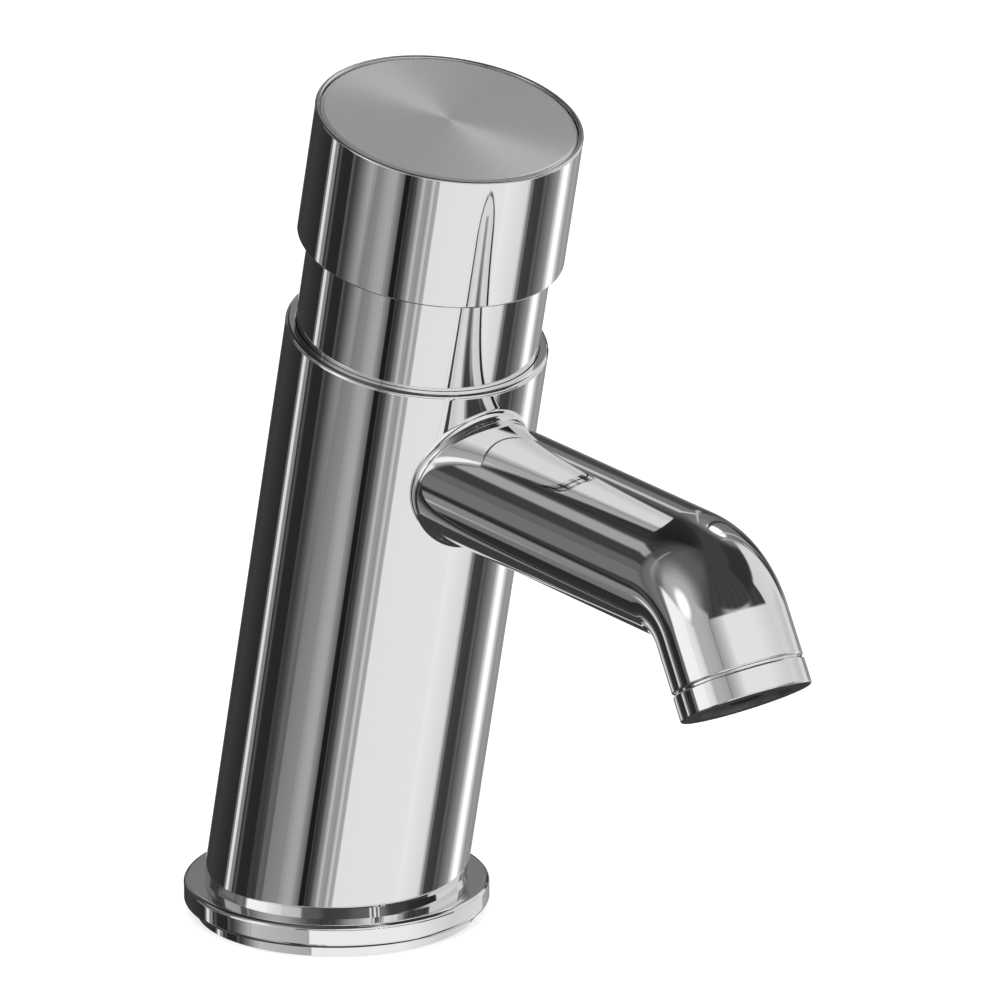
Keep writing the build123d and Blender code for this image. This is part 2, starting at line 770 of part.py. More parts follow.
# Strainer cup in the inlet
strainer_plane = Plane(origin=(0, -inlet_offset, strainer_bottom))
with BuildPart() as inlet_strainer:
    with BuildSketch(strainer_plane):
        Circle(strainer_radius - strainer_clearance)
    extrude(amount=strainer_length)
    with BuildSketch(strainer_plane):
        Circle(strainer_radius - strainer_clearance - strainer_wall)
    extrude(amount=strainer_length - strainer_wall, mode=Mode.SUBTRACT)
    hole_spacing = strainer_length / (strainer_hole_rows + 1)
    for row in range(strainer_hole_rows):
        row_height = strainer_bottom + hole_spacing * (row + 1)
        row_plane = Plane(origin=(0, -inlet_offset, row_height), x_dir=(0, 0, 1), z_dir=(1, 0, 0))
        for hole in range(strainer_holes_round):
            with BuildSketch(row_plane.rotated((360 / strainer_holes_round * hole, 0, 0))):
                Circle(strainer_hole_radius)
            extrude(amount=strainer_radius, mode=Mode.SUBTRACT)
inlet_strainer.part.label = "inlet_strainer"
export_step(inlet_strainer.part, "parts/inlet_strainer.step")

# Aerator housing: the visible ring, a groove under the spout's end, and the thread
with BuildPart() as aerator_housing:
    revolve(
        turned_profile(
            outlet_section,
            [
                (aerator_lip_radius, 0),
                (spout_radius, 0),
                (spout_radius, aerator_ring_height),
                (spout_radius - aerator_groove_depth, aerator_ring_height),
                (spout_radius - aerator_groove_depth, tube_end_height),
                (aerator_thread_radius, tube_end_height),
                (aerator_thread_radius, housing_top),
                (aerator_bore_radius, housing_top),
                (aerator_bore_radius, aerator_lip_height),
                (aerator_lip_radius, aerator_lip_height),
            ],
        ),
        axis=outlet_axis,
    )
    ring_edges = edges().filter_by(GeomType.CIRCLE).sort_by(SortBy.RADIUS)[-2:]
    fillet(ring_edges, radius=aerator_edge_round)
aerator_housing.part.label = "aerator_housing"
export_step(aerator_housing.part, "parts/aerator_housing.step")

# Aerator insert: a cup on the housing's lip, with the outlet hole in its face
with BuildPart() as aerator_insert:
    revolve(
        turned_profile(
            outlet_section,
            [
                (insert_hole_radius, aerator_lip_height),
                (insert_radius, aerator_lip_height),
                (insert_radius, regulator_bottom),
                (insert_radius - insert_wall, regulator_bottom),
                (insert_radius - insert_wall, aerator_lip_height + insert_face_thickness),
                (insert_hole_radius, aerator_lip_height + insert_face_thickness),
            ],
        ),
        axis=outlet_axis,
    )
aerator_insert.part.label = "aerator_insert"
export_step(aerator_insert.part, "parts/aerator_insert.step")

# Flow regulator, a drilled disc on top of the insert
with BuildPart() as flow_regulator:
    with BuildSketch(outlet_plane.offset(regulator_bottom)):
        Circle(insert_radius)
        with PolarLocations(regulator_hole_circle, regulator_hole_count):
            Circle(regulator_hole_radius, mode=Mode.SUBTRACT)
    extrude(amount=regulator_height)
flow_regulator.part.label = "flow_regulator"
export_step(flow_regulator.part, "parts/flow_regulator.step")

# Flat seal between the housing and the shoulder in the spout
with BuildPart() as aerator_seal:
    with BuildSketch(outlet_plane.offset(housing_top)):
        Circle(aerator_thread_radius)
        Circle(aerator_seal_bore, mode=Mode.SUBTRACT)
    extrude(amount=aerator_seal_height)
aerator_seal.part.label = "aerator_seal"
export_step(aerator_seal.part, "parts/aerator_seal.step")
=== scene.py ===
import json
from math import cos, radians, sin, tan

import bpy
import numpy as np
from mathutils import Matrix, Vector


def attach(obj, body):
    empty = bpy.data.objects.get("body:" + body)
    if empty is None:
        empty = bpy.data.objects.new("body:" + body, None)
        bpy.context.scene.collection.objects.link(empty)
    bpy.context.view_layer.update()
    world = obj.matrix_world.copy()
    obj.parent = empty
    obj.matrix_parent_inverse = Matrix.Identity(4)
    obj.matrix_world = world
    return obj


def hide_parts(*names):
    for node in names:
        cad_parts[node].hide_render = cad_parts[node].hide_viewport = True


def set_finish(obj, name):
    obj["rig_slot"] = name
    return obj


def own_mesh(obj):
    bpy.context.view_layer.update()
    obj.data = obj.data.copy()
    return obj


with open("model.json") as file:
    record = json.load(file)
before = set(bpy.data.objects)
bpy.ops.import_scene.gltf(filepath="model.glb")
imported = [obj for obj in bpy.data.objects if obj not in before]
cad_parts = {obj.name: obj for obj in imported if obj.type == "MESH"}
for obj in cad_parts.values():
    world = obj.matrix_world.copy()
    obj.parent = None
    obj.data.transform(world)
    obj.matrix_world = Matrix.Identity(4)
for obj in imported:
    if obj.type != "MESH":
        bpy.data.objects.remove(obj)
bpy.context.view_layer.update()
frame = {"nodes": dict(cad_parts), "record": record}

# Millimetre sizes below become metres through this factor, as the frame is in metres
MM = 0.001

# Leaning axis of barrel, neck and cap: heights along it start at the rosette's top
LEAN = radians(13.2)
FOOT = np.array([0.0, 0.42, 7.0])
AXIS = np.array([0.0, -sin(LEAN), cos(LEAN)])
SIDE = np.array([1.0, 0.0, 0.0])
BACK = np.cross(AXIS, SIDE)
UPRIGHT = (np.zeros(3), SIDE, np.array([0.0, 1.0, 0.0]), np.array([0.0, 0.0, 1.0]))
LEANING = (FOOT, SIDE, BACK, AXIS)

# Base: the rosette, the ring under it, and the casting's collar and spigot
FLANGE_TOP = 7.0
FLANGE_RADIUS = 30.1
FLANGE_BORE = 23.05
FLANGE_ROUND = 1.0
RING_TOP = 2.3
RING_RADIUS = 27.6
RING_BORE = 19.5
SEAL_GROOVE_BORE = 21.2
SEAL_GROOVE_RADIUS = 26.0
SEAL_GROOVE_DEPTH = 1.5
COLLAR_RADIUS = 25.8
COLLAR_DRAFT = tan(radians(9.0))
SPIGOT_RADIUS = 23.0

# Barrel: its foot on a ledge that rises slightly, its lip, and the mouth that takes the neck
BARREL_RADIUS = 25.65
BARREL_LENGTH = 122.35
FOOT_RING_HEIGHT = 8.9
FOOT_RING_RISE = radians(1.0)
LIP_ROUND = 0.9
MOUTH_RADIUS = 23.85
NECK_SEAT = 118.5
MOUTH_THREAD_RADIUS = 22.4
HOLLOW_LIMIT = 22.45

# Neck, with the groove of its guide ring
NECK_RADIUS = 23.7
NECK_BORE = 20.5
NECK_FOOT = 112.0
NECK_FOOT_RADIUS = 22.3
NECK_TOP = 155.5
NECK_ROUND = 0.4
GUIDE_GROOVE_RADIUS = 22.8
GUIDE_GROOVE_FOOT = 150.7
GUIDE_GROOVE_TOP = 154.7

# Push cap, with the hub that takes stem and screw, and the disc in its top
CAP_RADIUS = 26.0
CAP_BORE = 24.0
CAP_FOOT = 141.75
CAP_TOP = 169.05
CAP_ROUND = 0.4
CROWN_FOOT = 164.05
HUB_RADIUS = 9.0
HUB_FOOT = 159.55
STEM_SOCKET_RADIUS = 4.0
SCREW_HOLE_RADIUS = 2.2
SCREW_SEAT = 165.05
SCREW_RECESS_RADIUS = 4.2
DISC_RECESS_RADIUS = 25.1
DISC_RECESS_ROUND = 0.35
DISC_SEAT = 167.65
DISC_RADIUS = 25.0
DISC_TOP = 168.9
DISC_ROUND = 1.0

# Spout: a level run, a bend and a straight outlet
SPOUT_RADIUS = 13.0
SPOUT_SLOPE = radians(1.3)
SPOUT_HEIGHT = 97.35
BEND_START = 114.0
BEND_RADIUS = 13.7
OUTLET_TILT = radians(30.0)
OUTLET_STRAIGHT = 15.5
TUBE_END = 5.6
ROOT_ROUND = 2.0
END_ROUND = 0.5
OUTLET_THREAD = 11.0

SPOUT_RUN = np.array([0.0, -cos(SPOUT_SLOPE), -sin(SPOUT_SLOPE)])
SPOUT_UP = np.array([0.0, -sin(SPOUT_SLOPE), cos(SPOUT_SLOPE)])
SPOUT_START = FOOT + AXIS * SPOUT_HEIGHT
RUN_LENGTH = (BEND_START + SPOUT_START[1]) / cos(SPOUT_SLOPE)
BEND_ANGLE = radians(90) - OUTLET_TILT - SPOUT_SLOPE
BEND_CENTRE = SPOUT_START + SPOUT_RUN * RUN_LENGTH - SPOUT_UP * BEND_RADIUS
OUTLET_UP = np.array([0.0, sin(OUTLET_TILT), cos(OUTLET_TILT)])
OUTLET_OUT = np.array([0.0, -cos(OUTLET_TILT), sin(OUTLET_TILT)])
OUTLET = BEND_CENTRE + OUTLET_OUT * BEND_RADIUS - OUTLET_UP * OUTLET_STRAIGHT
OUTLET_FRAME = (OUTLET, SIDE, np.cross(OUTLET_UP, SIDE), OUTLET_UP)

# Ring and insert at the outlet: heights above the ring's lower face
OUTLET_RING_HEIGHT = 5.2
OUTLET_RING_ROUND = 0.4
OUTLET_RING_TOP = 13.0
OUTLET_RING_BORE = 9.6
OUTLET_RING_THREAD = 10.9
OUTLET_GROOVE_RADIUS = 12.3
OUTLET_LIP_RADIUS = 9.0
OUTLET_LIP_HEIGHT = 0.6
INSERT_RADIUS = 9.55
INSERT_BORE = 8.15
INSERT_TOP = 8.6
INSERT_HOLE_RADIUS = 3.3
INSERT_FACE_TOP = 2.1

# Return spring, from its seat up to the cup on the stem
SPRING_FOOT = 112.9
SPRING_TOP = 155.15
SPRING_RADIUS = 10.0
SPRING_TURNS = 7
SPRING_STEPS = 72
WIRE_RADIUS = 0.9
WIRE_COLUMNS = 20

# Columns round a turned piece, and steps round a rounded edge
COLUMNS = 288
ROUND_STEPS = 8

# Rows of faces along the casting; the window is the part of the barrel round the spout's root
WINDOW_FOOT = 66.0
WINDOW_REACH = COLUMNS // 6
FOOT_ROWS = 40
LEDGE_ROWS = 2
COLLAR_ROWS = 4
BARREL_ROWS = 72
WINDOW_ROWS = 32
ROOT_ROWS = 16
RUN_ROWS = 48
BEND_ROWS = 48
OUTLET_ROWS = 10

# What counts as inside the casting: margins round its hollows, and the points along the waterway
SPIGOT_MARGIN = 0.01
WATERWAY_MARGIN = 0.05
WATERWAY_START = 15
RUN_POINTS = 300
BEND_POINTS = 60
SMALLEST_FACE = 1e-9

# Points are welded on a fine grid, shifted so that round sizes don't lie on its cells' borders
WELDS_PER_MM = 1000
WELD_SHIFT = 0.37


def unit(vectors):
    """Vectors scaled to length one."""
    return vectors / np.linalg.norm(vectors, axis=-1, keepdims=True)


def object_from_patches(name, patches, body, slot, stands_for, triangles=None):
    """One mesh from grids of (points, normals), welded where points agree to a hair's breadth.

    Each patch is a grid whose neighbouring rows and columns span the faces. Every face corner
    keeps the normal of its own patch, so a sharp edge stays sharp and a rounded one is exactly
    smooth. Triangles are (corners, normals), given as they are."""
    corners, shades = [], []
    for points, normals in patches:
        quads, shade = (
            np.stack([g[:-1, :-1], g[1:, :-1], g[1:, 1:], g[:-1, 1:]], 2).reshape(-1, 4, 3)
            for g in (points, normals)
        )
        facing = np.cross(quads[:, 2] - quads[:, 0], quads[:, 3] - quads[:, 1])
        if (facing * shade.sum(1)).sum() < 0:
            quads, shade = quads[:, ::-1], shade[:, ::-1]
        corners.append(quads)
        shades.append(shade)
    corners, shades = np.concatenate(corners), np.concatenate(shades)
    flat = corners.reshape(-1, 3)
    if triangles is not None:
        flat = np.concatenate([flat, triangles[0].reshape(-1, 3)])
    keys = np.round(flat * WELDS_PER_MM + WELD_SHIFT).astype(np.int64)
    _, first, index = np.unique(keys, axis=0, return_index=True, return_inverse=True)
    index = index.reshape(-1)
    faces = index[: len(corners) * 4].reshape(-1, 4)
    # A quad with two equal corners side by side is a triangle at a pole
    threes, three_shades = [], []
    pinched = np.zeros(len(faces), bool)
    for k in range(4):
        same = faces[:, k] == faces[:, (k + 1) % 4]
        rest = [(k + 1) % 4, (k + 2) % 4, (k + 3) % 4]
        take = same & ~pinched
        threes.append(faces[take][:, rest])
        three_shades.append(shades[take][:, rest])
        pinched |= same
    fours = faces[~pinched]
    four_shades = shades[~pinched]
    threes = np.concatenate(threes)
    three_shades = np.concatenate(three_shades)
    if triangles is not None:
        threes = np.concatenate([threes, index[len(corners) * 4:].reshape(-1, 3)])
        three_shades = np.concatenate([three_shades, triangles[1]])
    whole = (threes != np.roll(threes, -1, axis=1)).all(1)
    threes, three_shades = threes[whole], three_shades[whole]
    mesh = bpy.data.meshes.new(name)
    mesh.from_pydata((flat[first] * MM).tolist(), [], fours.tolist() + threes.tolist())
    mesh.polygons.foreach_set("use_smooth", np.ones(len(mesh.polygons), bool))
    normals = np.concatenate([four_shades.reshape(-1, 3), three_shades.reshape(-1, 3)])
    mesh.normals_split_custom_set(unit(normals).tolist())
    piece = bpy.data.objects.new(name, mesh)
    bpy.context.scene.collection.objects.link(piece)
    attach(piece, body)
    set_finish(piece, slot)
    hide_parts(stands_for)
    return piece


def profile_runs(corners, closed=True):
    """Straight and rounded runs of an outline, each as (points, outward normals).

    Its corners are (radius, height) or (radius, height, rounding). A rounded corner is the arc that
    touches both neighbouring sides. Normals point to the right of travel."""
    points = np.array([c[:2] for c in corners], float)
    rounds = np.array([c[2] if len(c) > 2 else 0.0 for c in corners])
    count = len(points)
    ahead = unit(np.roll(points, -1, 0) - points)
    behind = np.roll(ahead, 1, 0)
    turn = behind[:, 0] * ahead[:, 1] - behind[:, 1] * ahead[:, 0]
    half = np.arctan2(np.abs(turn), (behind * ahead).sum(1)) / 2
    cut = rounds * np.tan(half)
    runs = []
    for k in range(count):
        if rounds[k] > 0:
            start = np.array([behind[k][1], -behind[k][0]])
            middle = points[k] - behind[k] * cut[k] - np.sign(turn[k]) * start * rounds[k]
            angles = np.sign(turn[k]) * np.linspace(0, 2 * half[k], ROUND_STEPS + 1)
            spin = np.stack([np.cos(angles), np.sin(angles)], 1)
            normals = np.stack(
                [
                    start[0] * spin[:, 0] - start[1] * spin[:, 1],
                    start[0] * spin[:, 1] + start[1] * spin[:, 0],
                ],
                1,
            )
            runs.append((middle + np.sign(turn[k]) * normals * rounds[k], normals))
        if closed or k < count - 1:
            begin = points[k] + ahead[k] * cut[k]
            end = points[(k + 1) % count] - ahead[k] * cut[(k + 1) % count]
            normal = np.array([ahead[k][1], -ahead[k][0]])
            runs.append((np.stack([begin, end]), np.stack([normal, normal])))
    return runs


def turned(axis_frame, corners, closed=True):
    """Patches of an outline turned about an axis.

    A point is centre + height x axis + radius x (cos, sin) of the angle round it."""
    centre, side, back, axis = axis_frame
    angles = np.linspace(0, 2 * np.pi, COLUMNS + 1)
    angles[-1] = 0.0
    outward = np.cos(angles)[:, None] * side + np.sin(angles)[:, None] * back
    patches = []
    for points, normals in profile_runs(corners, closed):
        grid = centre + points[:, 1, None, None] * axis + points[:, 0, None, None] * outward
        shade = normals[:, 1, None, None] * axis + normals[:, 0, None, None] * outward
        patches.append((grid, np.broadcast_to(shade, grid.shape)))
    return patches


def blended(first, last, steps):
    """A grid of straight lines from each point of one row to the same point of another."""
    part = np.linspace(0, 1, steps + 1)[:, None, None]
    return first[None] * (1 - part) + last[None] * part


def on_barrel(angles, heights):
    """Points of the barrel's surface and their normals, from the angle round it and the height."""
    outward = np.cos(angles)[..., None] * SIDE + np.sin(angles)[..., None] * BACK
    return FOOT + heights[..., None] * AXIS + BARREL_RADIUS * outward, outward


def root_of_spout(angles):
    """Where a ball of the root's rounding touches spout and barrel, for each angle round the spout.

    The ball's centre is a ball radius outside both tubes: it lies on the line that runs along the
    spout at that angle, where its distance from the barrel's axis, a quadratic, is right."""
    outward = np.cos(angles)[:, None] * SIDE + np.sin(angles)[:, None] * SPOUT_UP
    start = SPOUT_START - FOOT + (SPOUT_RADIUS + ROOT_ROUND) * outward
    start_across = start - (start @ AXIS)[:, None] * AXIS
    run_across = SPOUT_RUN - (SPOUT_RUN @ AXIS) * AXIS
    a = run_across @ run_across
    b = start_across @ run_across
    c = (start_across**2).sum(1) - (BARREL_RADIUS + ROOT_ROUND) ** 2
    along = (-b + np.sqrt(b**2 - a * c)) / a
    ball = FOOT + start + along[:, None] * SPOUT_RUN
    from_axis = ball - FOOT - ((ball - FOOT) @ AXIS)[:, None] * AXIS
    return ball, unit(from_axis), outward


def tap_body_patches():
    """The casting's outside: collar, ledge, barrel round the spout's root, lip, mouth and spout."""
    patches = []
    columns = np.linspace(-np.pi / 2, 3 * np.pi / 2, COLUMNS + 1)
    columns[-1] = columns[0]
    low, high = WINDOW_FOOT, BARREL_LENGTH - LIP_ROUND
    # Foot of the barrel, on a plane that rises slightly towards the spout
    plane = np.array([0.0, sin(FOOT_RING_RISE), cos(FOOT_RING_RISE)])
    plane_centre = np.array([0.0, 0.0, FOOT_RING_HEIGHT])
    _, outward = on_barrel(columns, np.zeros(COLUMNS + 1))
    foot = ((plane_centre - FOOT - BARREL_RADIUS * outward) @ plane) / (AXIS @ plane)
    ring, _ = on_barrel(columns, foot)
    below = foot[None] + np.linspace(0, 1, FOOT_ROWS + 1)[:, None] * (low - foot[None])
    patches.append(on_barrel(np.broadcast_to(columns, below.shape), below))
    # Ledge under the barrel and the upright collar below it
    around = np.arctan2(ring[:, 1], ring[:, 0])
    rise = tan(FOOT_RING_RISE) * np.sin(around)
    meet = FOOT_RING_HEIGHT - rise * (COLLAR_RADIUS + FLANGE_TOP * COLLAR_DRAFT)
    meet = meet / (1 - rise * COLLAR_DRAFT)
    inner = COLLAR_RADIUS - COLLAR_DRAFT * (meet - FLANGE_TOP)
    flat = np.stack([np.cos(around), np.sin(around), np.zeros_like(around)], 1)
    upright = np.array([0.0, 0.0, 1.0])
    collar_top = inner[:, None] * flat + meet[:, None] * upright
    ledge = blended(ring, collar_top, LEDGE_ROWS)
    patches.append((ledge, np.broadcast_to(-plane, ledge.shape)))
    collar_foot = COLLAR_RADIUS * flat + FLANGE_TOP * upright
    collar = blended(collar_foot, collar_top, COLLAR_ROWS)
    collar_shade = unit(flat + COLLAR_DRAFT * upright)
    patches.append((collar, np.broadcast_to(collar_shade, collar.shape)))
    seat = blended(collar_foot, SPIGOT_RADIUS * flat + FLANGE_TOP * upright, 1)
    patches.append((seat, np.broadcast_to(-upright, seat.shape)))
    # Barrel beside and behind the spout
    levels = np.linspace(low, high, BARREL_ROWS + 1)
    beside = columns[WINDOW_REACH: COLUMNS - WINDOW_REACH + 1]
    patches.append(on_barrel(*np.meshgrid(beside, levels)))
    # Window round the spout's root: straight lines on the unrolled barrel, from the root out to a
    # rectangle
    across_window = 2 * WINDOW_REACH
    half_window = 2 * np.pi * WINDOW_REACH / COLUMNS
    window = np.linspace(-np.pi / 2 - half_window, -np.pi / 2 + half_window, across_window + 1)
    right, left = np.full(BARREL_ROWS, window[-1]), np.full(BARREL_ROWS, window[0])
    bottom, top = np.full(across_window, low), np.full(across_window, high)
    border_angle = np.concatenate([window[:-1], right, window[:0:-1], left, window[:1]])
    border_height = np.concatenate([bottom, levels[:-1], top, levels[:0:-1], levels[:1]])
    across = BARREL_RADIUS * (border_angle + np.pi / 2)
    theta = np.arctan2(border_height - SPOUT_HEIGHT, across)
    ball, from_barrel, from_spout = root_of_spout(theta)
    touch = ball - ROOT_ROUND * from_barrel
    touch_angle = np.arctan2((touch - FOOT) @ BACK, (touch - FOOT) @ SIDE)
    touch_height = (touch - FOOT) @ AXIS
    part = np.linspace(0, 1, WINDOW_ROWS + 1)[:, None]
    angles = touch_angle * (1 - part) + border_angle * part
    patches.append(on_barrel(angles, touch_height * (1 - part) + border_height * part))
    # Rounded root: part of a ball between both touching points, turned evenly from one to the other
    spread = np.arccos((from_barrel * from_spout).sum(1))[:, None]
    part = np.linspace(0, 1, ROOT_ROWS + 1)[:, None, None]
    shade = np.sin((1 - part) * spread) * from_barrel + np.sin(part * spread) * from_spout
    shade = shade / np.sin(spread)
    patches.append((ball - ROOT_ROUND * shade, shade))
    # Level run, bend and outlet of the spout
    root_end = ball - ROOT_ROUND * from_spout
    bend_ring = SPOUT_START + SPOUT_RUN * RUN_LENGTH + SPOUT_RADIUS * from_spout
    run = blended(root_end, bend_ring, RUN_ROWS)
    patches.append((run, np.broadcast_to(from_spout, run.shape)))
    turn = np.linspace(0, BEND_ANGLE, BEND_ROWS + 1)[:, None, None]
    up = np.cos(turn) * SPOUT_UP + np.sin(turn) * SPOUT_RUN
    shade = np.cos(theta)[None, :, None] * SIDE + np.sin(theta)[None, :, None] * up
    patches.append((BEND_CENTRE + BEND_RADIUS * up + SPOUT_RADIUS * shade, shade))
    outward = shade[-1]
    tube_end = OUTLET + OUTLET_UP * TUBE_END
    straight = blended(
        OUTLET + OUTLET_UP * OUTLET_STRAIGHT + SPOUT_RADIUS * outward,
        tube_end + OUTLET_UP * END_ROUND + SPOUT_RADIUS * outward,
        OUTLET_ROWS,
    )
    patches.append((straight, np.broadcast_to(outward, straight.shape)))
    turn = np.linspace(0, np.pi / 2, ROUND_STEPS + 1)[:, None, None]
    shade = np.cos(turn) * outward - np.sin(turn) * OUTLET_UP
    middle = tube_end + OUTLET_UP * END_ROUND + (SPOUT_RADIUS - END_ROUND) * outward
    patches.append((middle + END_ROUND * shade, shade))
    face_edge = tube_end + (SPOUT_RADIUS - END_ROUND) * outward
    face = blended(face_edge, tube_end + OUTLET_THREAD * outward, 1)
    patches.append((face, np.broadcast_to(-OUTLET_UP, face.shape)))
    # Lip, and the mouth down to the seat of the neck; the first run only leads into the lip's round
    lip = [
        (BARREL_RADIUS, WINDOW_FOOT),
        (BARREL_RADIUS, BARREL_LENGTH, LIP_ROUND),
        (MOUTH_RADIUS, BARREL_LENGTH),
        (MOUTH_RADIUS, NECK_SEAT),
        (MOUTH_THREAD_RADIUS, NECK_SEAT),
    ]
    return patches + turned(LEANING, lip, closed=False)[1:]


def inside_of_casting():
    """The casting's inner faces from the CAD solid: all in its hollow, spigot or waterway."""
    mesh = frame["nodes"]["tap_body"].data
    points = np.zeros(len(mesh.vertices) * 3)
    mesh.vertices.foreach_get("co", points)
    points = points.reshape(-1, 3) / MM
    mesh.calc_loop_triangles()
    triangles = np.zeros(len(mesh.loop_triangles) * 3, np.int32)
    mesh.loop_triangles.foreach_get("vertices", triangles)
    triangles = triangles.reshape(-1, 3)
    from_foot = points - FOOT
    from_axis = np.linalg.norm(from_foot - (from_foot @ AXIS)[:, None] * AXIS, axis=1)
    in_spigot = np.hypot(points[:, 0], points[:, 1]) < SPIGOT_RADIUS + SPIGOT_MARGIN
    in_spigot &= points[:, 2] < FLANGE_TOP + SPIGOT_MARGIN
    turn = np.linspace(0, BEND_ANGLE, BEND_POINTS)[:, None]
    line = np.concatenate(
        [
            SPOUT_START + SPOUT_RUN * np.linspace(WATERWAY_START, RUN_LENGTH, RUN_POINTS)[:, None],
            BEND_CENTRE + BEND_RADIUS * (np.cos(turn) * SPOUT_UP + np.sin(turn) * SPOUT_RUN),
            OUTLET + OUTLET_UP * np.linspace(OUTLET_STRAIGHT, TUBE_END, BEND_POINTS)[:, None],
        ]
    )
    from_line = np.linalg.norm(points[:, None] - line[None], axis=2).min(1)
    in_waterway = from_line < OUTLET_THREAD + WATERWAY_MARGIN
    kept = ((from_axis < HOLLOW_LIMIT) | in_spigot | in_waterway)[triangles].all(1)
    corners = points[triangles[kept]]
    normals = np.cross(corners[:, 1] - corners[:, 0], corners[:, 2] - corners[:, 0])
    sound = np.linalg.norm(normals, axis=1) > SMALLEST_FACE
    corners, normals = corners[sound], unit(normals[sound])
    return corners, np.repeat(normals[:, None], 3, axis=1)


def coil_patches():
    """The return spring: a round wire swept along a helix about the leaning axis.

    At the angle a the wire's middle is foot + rise x a / (2 pi turns) + radius x (cos a, sin a). A
    fan of faces closes each end."""
    rise = SPRING_TOP - SPRING_FOOT
    along = np.linspace(0, 1, SPRING_TURNS * SPRING_STEPS + 1)[:, None]
    turn = np.pi / 2 + 2 * np.pi * SPRING_TURNS * along
    outward = np.cos(turn) * SIDE + np.sin(turn) * BACK
    around = np.cos(turn) * BACK - np.sin(turn) * SIDE
    middle = FOOT + (SPRING_FOOT + rise * along) * AXIS + SPRING_RADIUS * outward
    climb = rise / (2 * np.pi * SPRING_TURNS * SPRING_RADIUS)
    forward = unit(around + climb * AXIS)
    upward = np.cross(outward, forward)
    angles = np.linspace(0, 2 * np.pi, WIRE_COLUMNS + 1)
    angles[-1] = 0.0
    angles = angles[None, :, None]
    shade = np.cos(angles) * outward[:, None] + np.sin(angles) * upward[:, None]
    tube = middle[:, None] + WIRE_RADIUS * shade
    patches = [(tube, shade)]
    for end, sense in ((0, -1), (-1, 1)):
        end_face = blended(np.broadcast_to(middle[end], tube[end].shape), tube[end], 1)
        patches.append((end_face, np.broadcast_to(sense * forward[end], end_face.shape)))
    return patches


# Share of the light that the chrome gives back
CHROME_TONE = 0.9

# Scale of the grain's broad patches against that of its fine marks
BROAD_TO_FINE = 0.08

MATH = "ShaderNodeMath"
VECTOR_MATH = "ShaderNodeVectorMath"


def new_material(name):
    """A new node material, with its node tree and its Principled shader."""
    material = bpy.data.materials.new(name)
    material.use_nodes = True
    return material, material.node_tree, material.node_tree.nodes["Principled BSDF"]


def feed(tree, place, value):
    """Links a socket to an input, or sets a plain value on it."""
    if isinstance(value, bpy.types.NodeSocket):
        tree.links.new(value, place)
    else:
        place.default_value = value


def calculated(tree, kind, operation, *values):
    """The result of a math node, from sockets and plain values."""
    node = tree.nodes.new(kind)
    node.operation = operation
    for place, value in zip(node.inputs, values):
        feed(tree, place, value)
    gives_number = kind == MATH or operation in ("LENGTH", "DOT_PRODUCT")
    return node.outputs["Value" if gives_number else "Vector"]


def ranged(tree, value, low, high):
    """A value between 0 and 1 brought to the range from low to high."""
    node = tree.nodes.new("ShaderNodeMapRange")
    for label, given in (("Value", value), ("To Min", low), ("To Max", high)):
        feed(tree, node.inputs[label], given)
    return node.outputs["Result"]


def noise(tree, scale, detail=2.0):
    """A soft random value over the piece's own coordinates."""
    place = tree.nodes.new("ShaderNodeTexCoord")
    texture = tree.nodes.new("ShaderNodeTexNoise")
    texture.inputs["Detail"].default_value = detail
    tree.links.new(place.outputs["Object"], texture.inputs["Vector"])
    feed(tree, texture.inputs["Scale"], scale)
    return texture.outputs["Fac"]


def from_foot_of_axis(tree):
    """The place on a piece, from the point where the leaning axis starts."""
    place = tree.nodes.new("ShaderNodeTexCoord").outputs["Object"]
    return calculated(tree, VECTOR_MATH, "SUBTRACT", place, (FOOT * MM).tolist())


def shared_group(name, given, results):
    """A shader group of numbers, with the sockets inside it for what it is given and gives."""
    group = bpy.data.node_groups.new(name, "ShaderNodeTree")
    for label, value in given.items():
        socket = group.interface.new_socket(label, in_out="INPUT", socket_type="NodeSocketFloat")
        socket.default_value = value
    for label in results:
        group.interface.new_socket(label, in_out="OUTPUT", socket_type="NodeSocketFloat")
    entry, leaving = group.nodes.new("NodeGroupInput"), group.nodes.new("NodeGroupOutput")
    return group, entry.outputs, leaving.inputs


def fine_grain_group():
    """Fine uneven marks as a height, and a roughness and a shade that wander with them."""
    usual = {"Scale": 400.0, "Roughness Low": 0.2, "Roughness High": 0.4, "Shade Low": 0.9}
    group, given, results = shared_group("fine_grain", usual, ("Height", "Roughness", "Shade"))
    fine = noise(group, given["Scale"], detail=3.0)
    broad = noise(group, calculated(group, MATH, "MULTIPLY", given["Scale"], BROAD_TO_FINE))
    roughness = ranged(group, broad, given["Roughness Low"], given["Roughness High"])
    shade = ranged(group, fine, given["Shade Low"], 1.0)
    for label, value in (("Height", fine), ("Roughness", roughness), ("Shade", shade)):
        group.links.new(value, results[label])
    return group


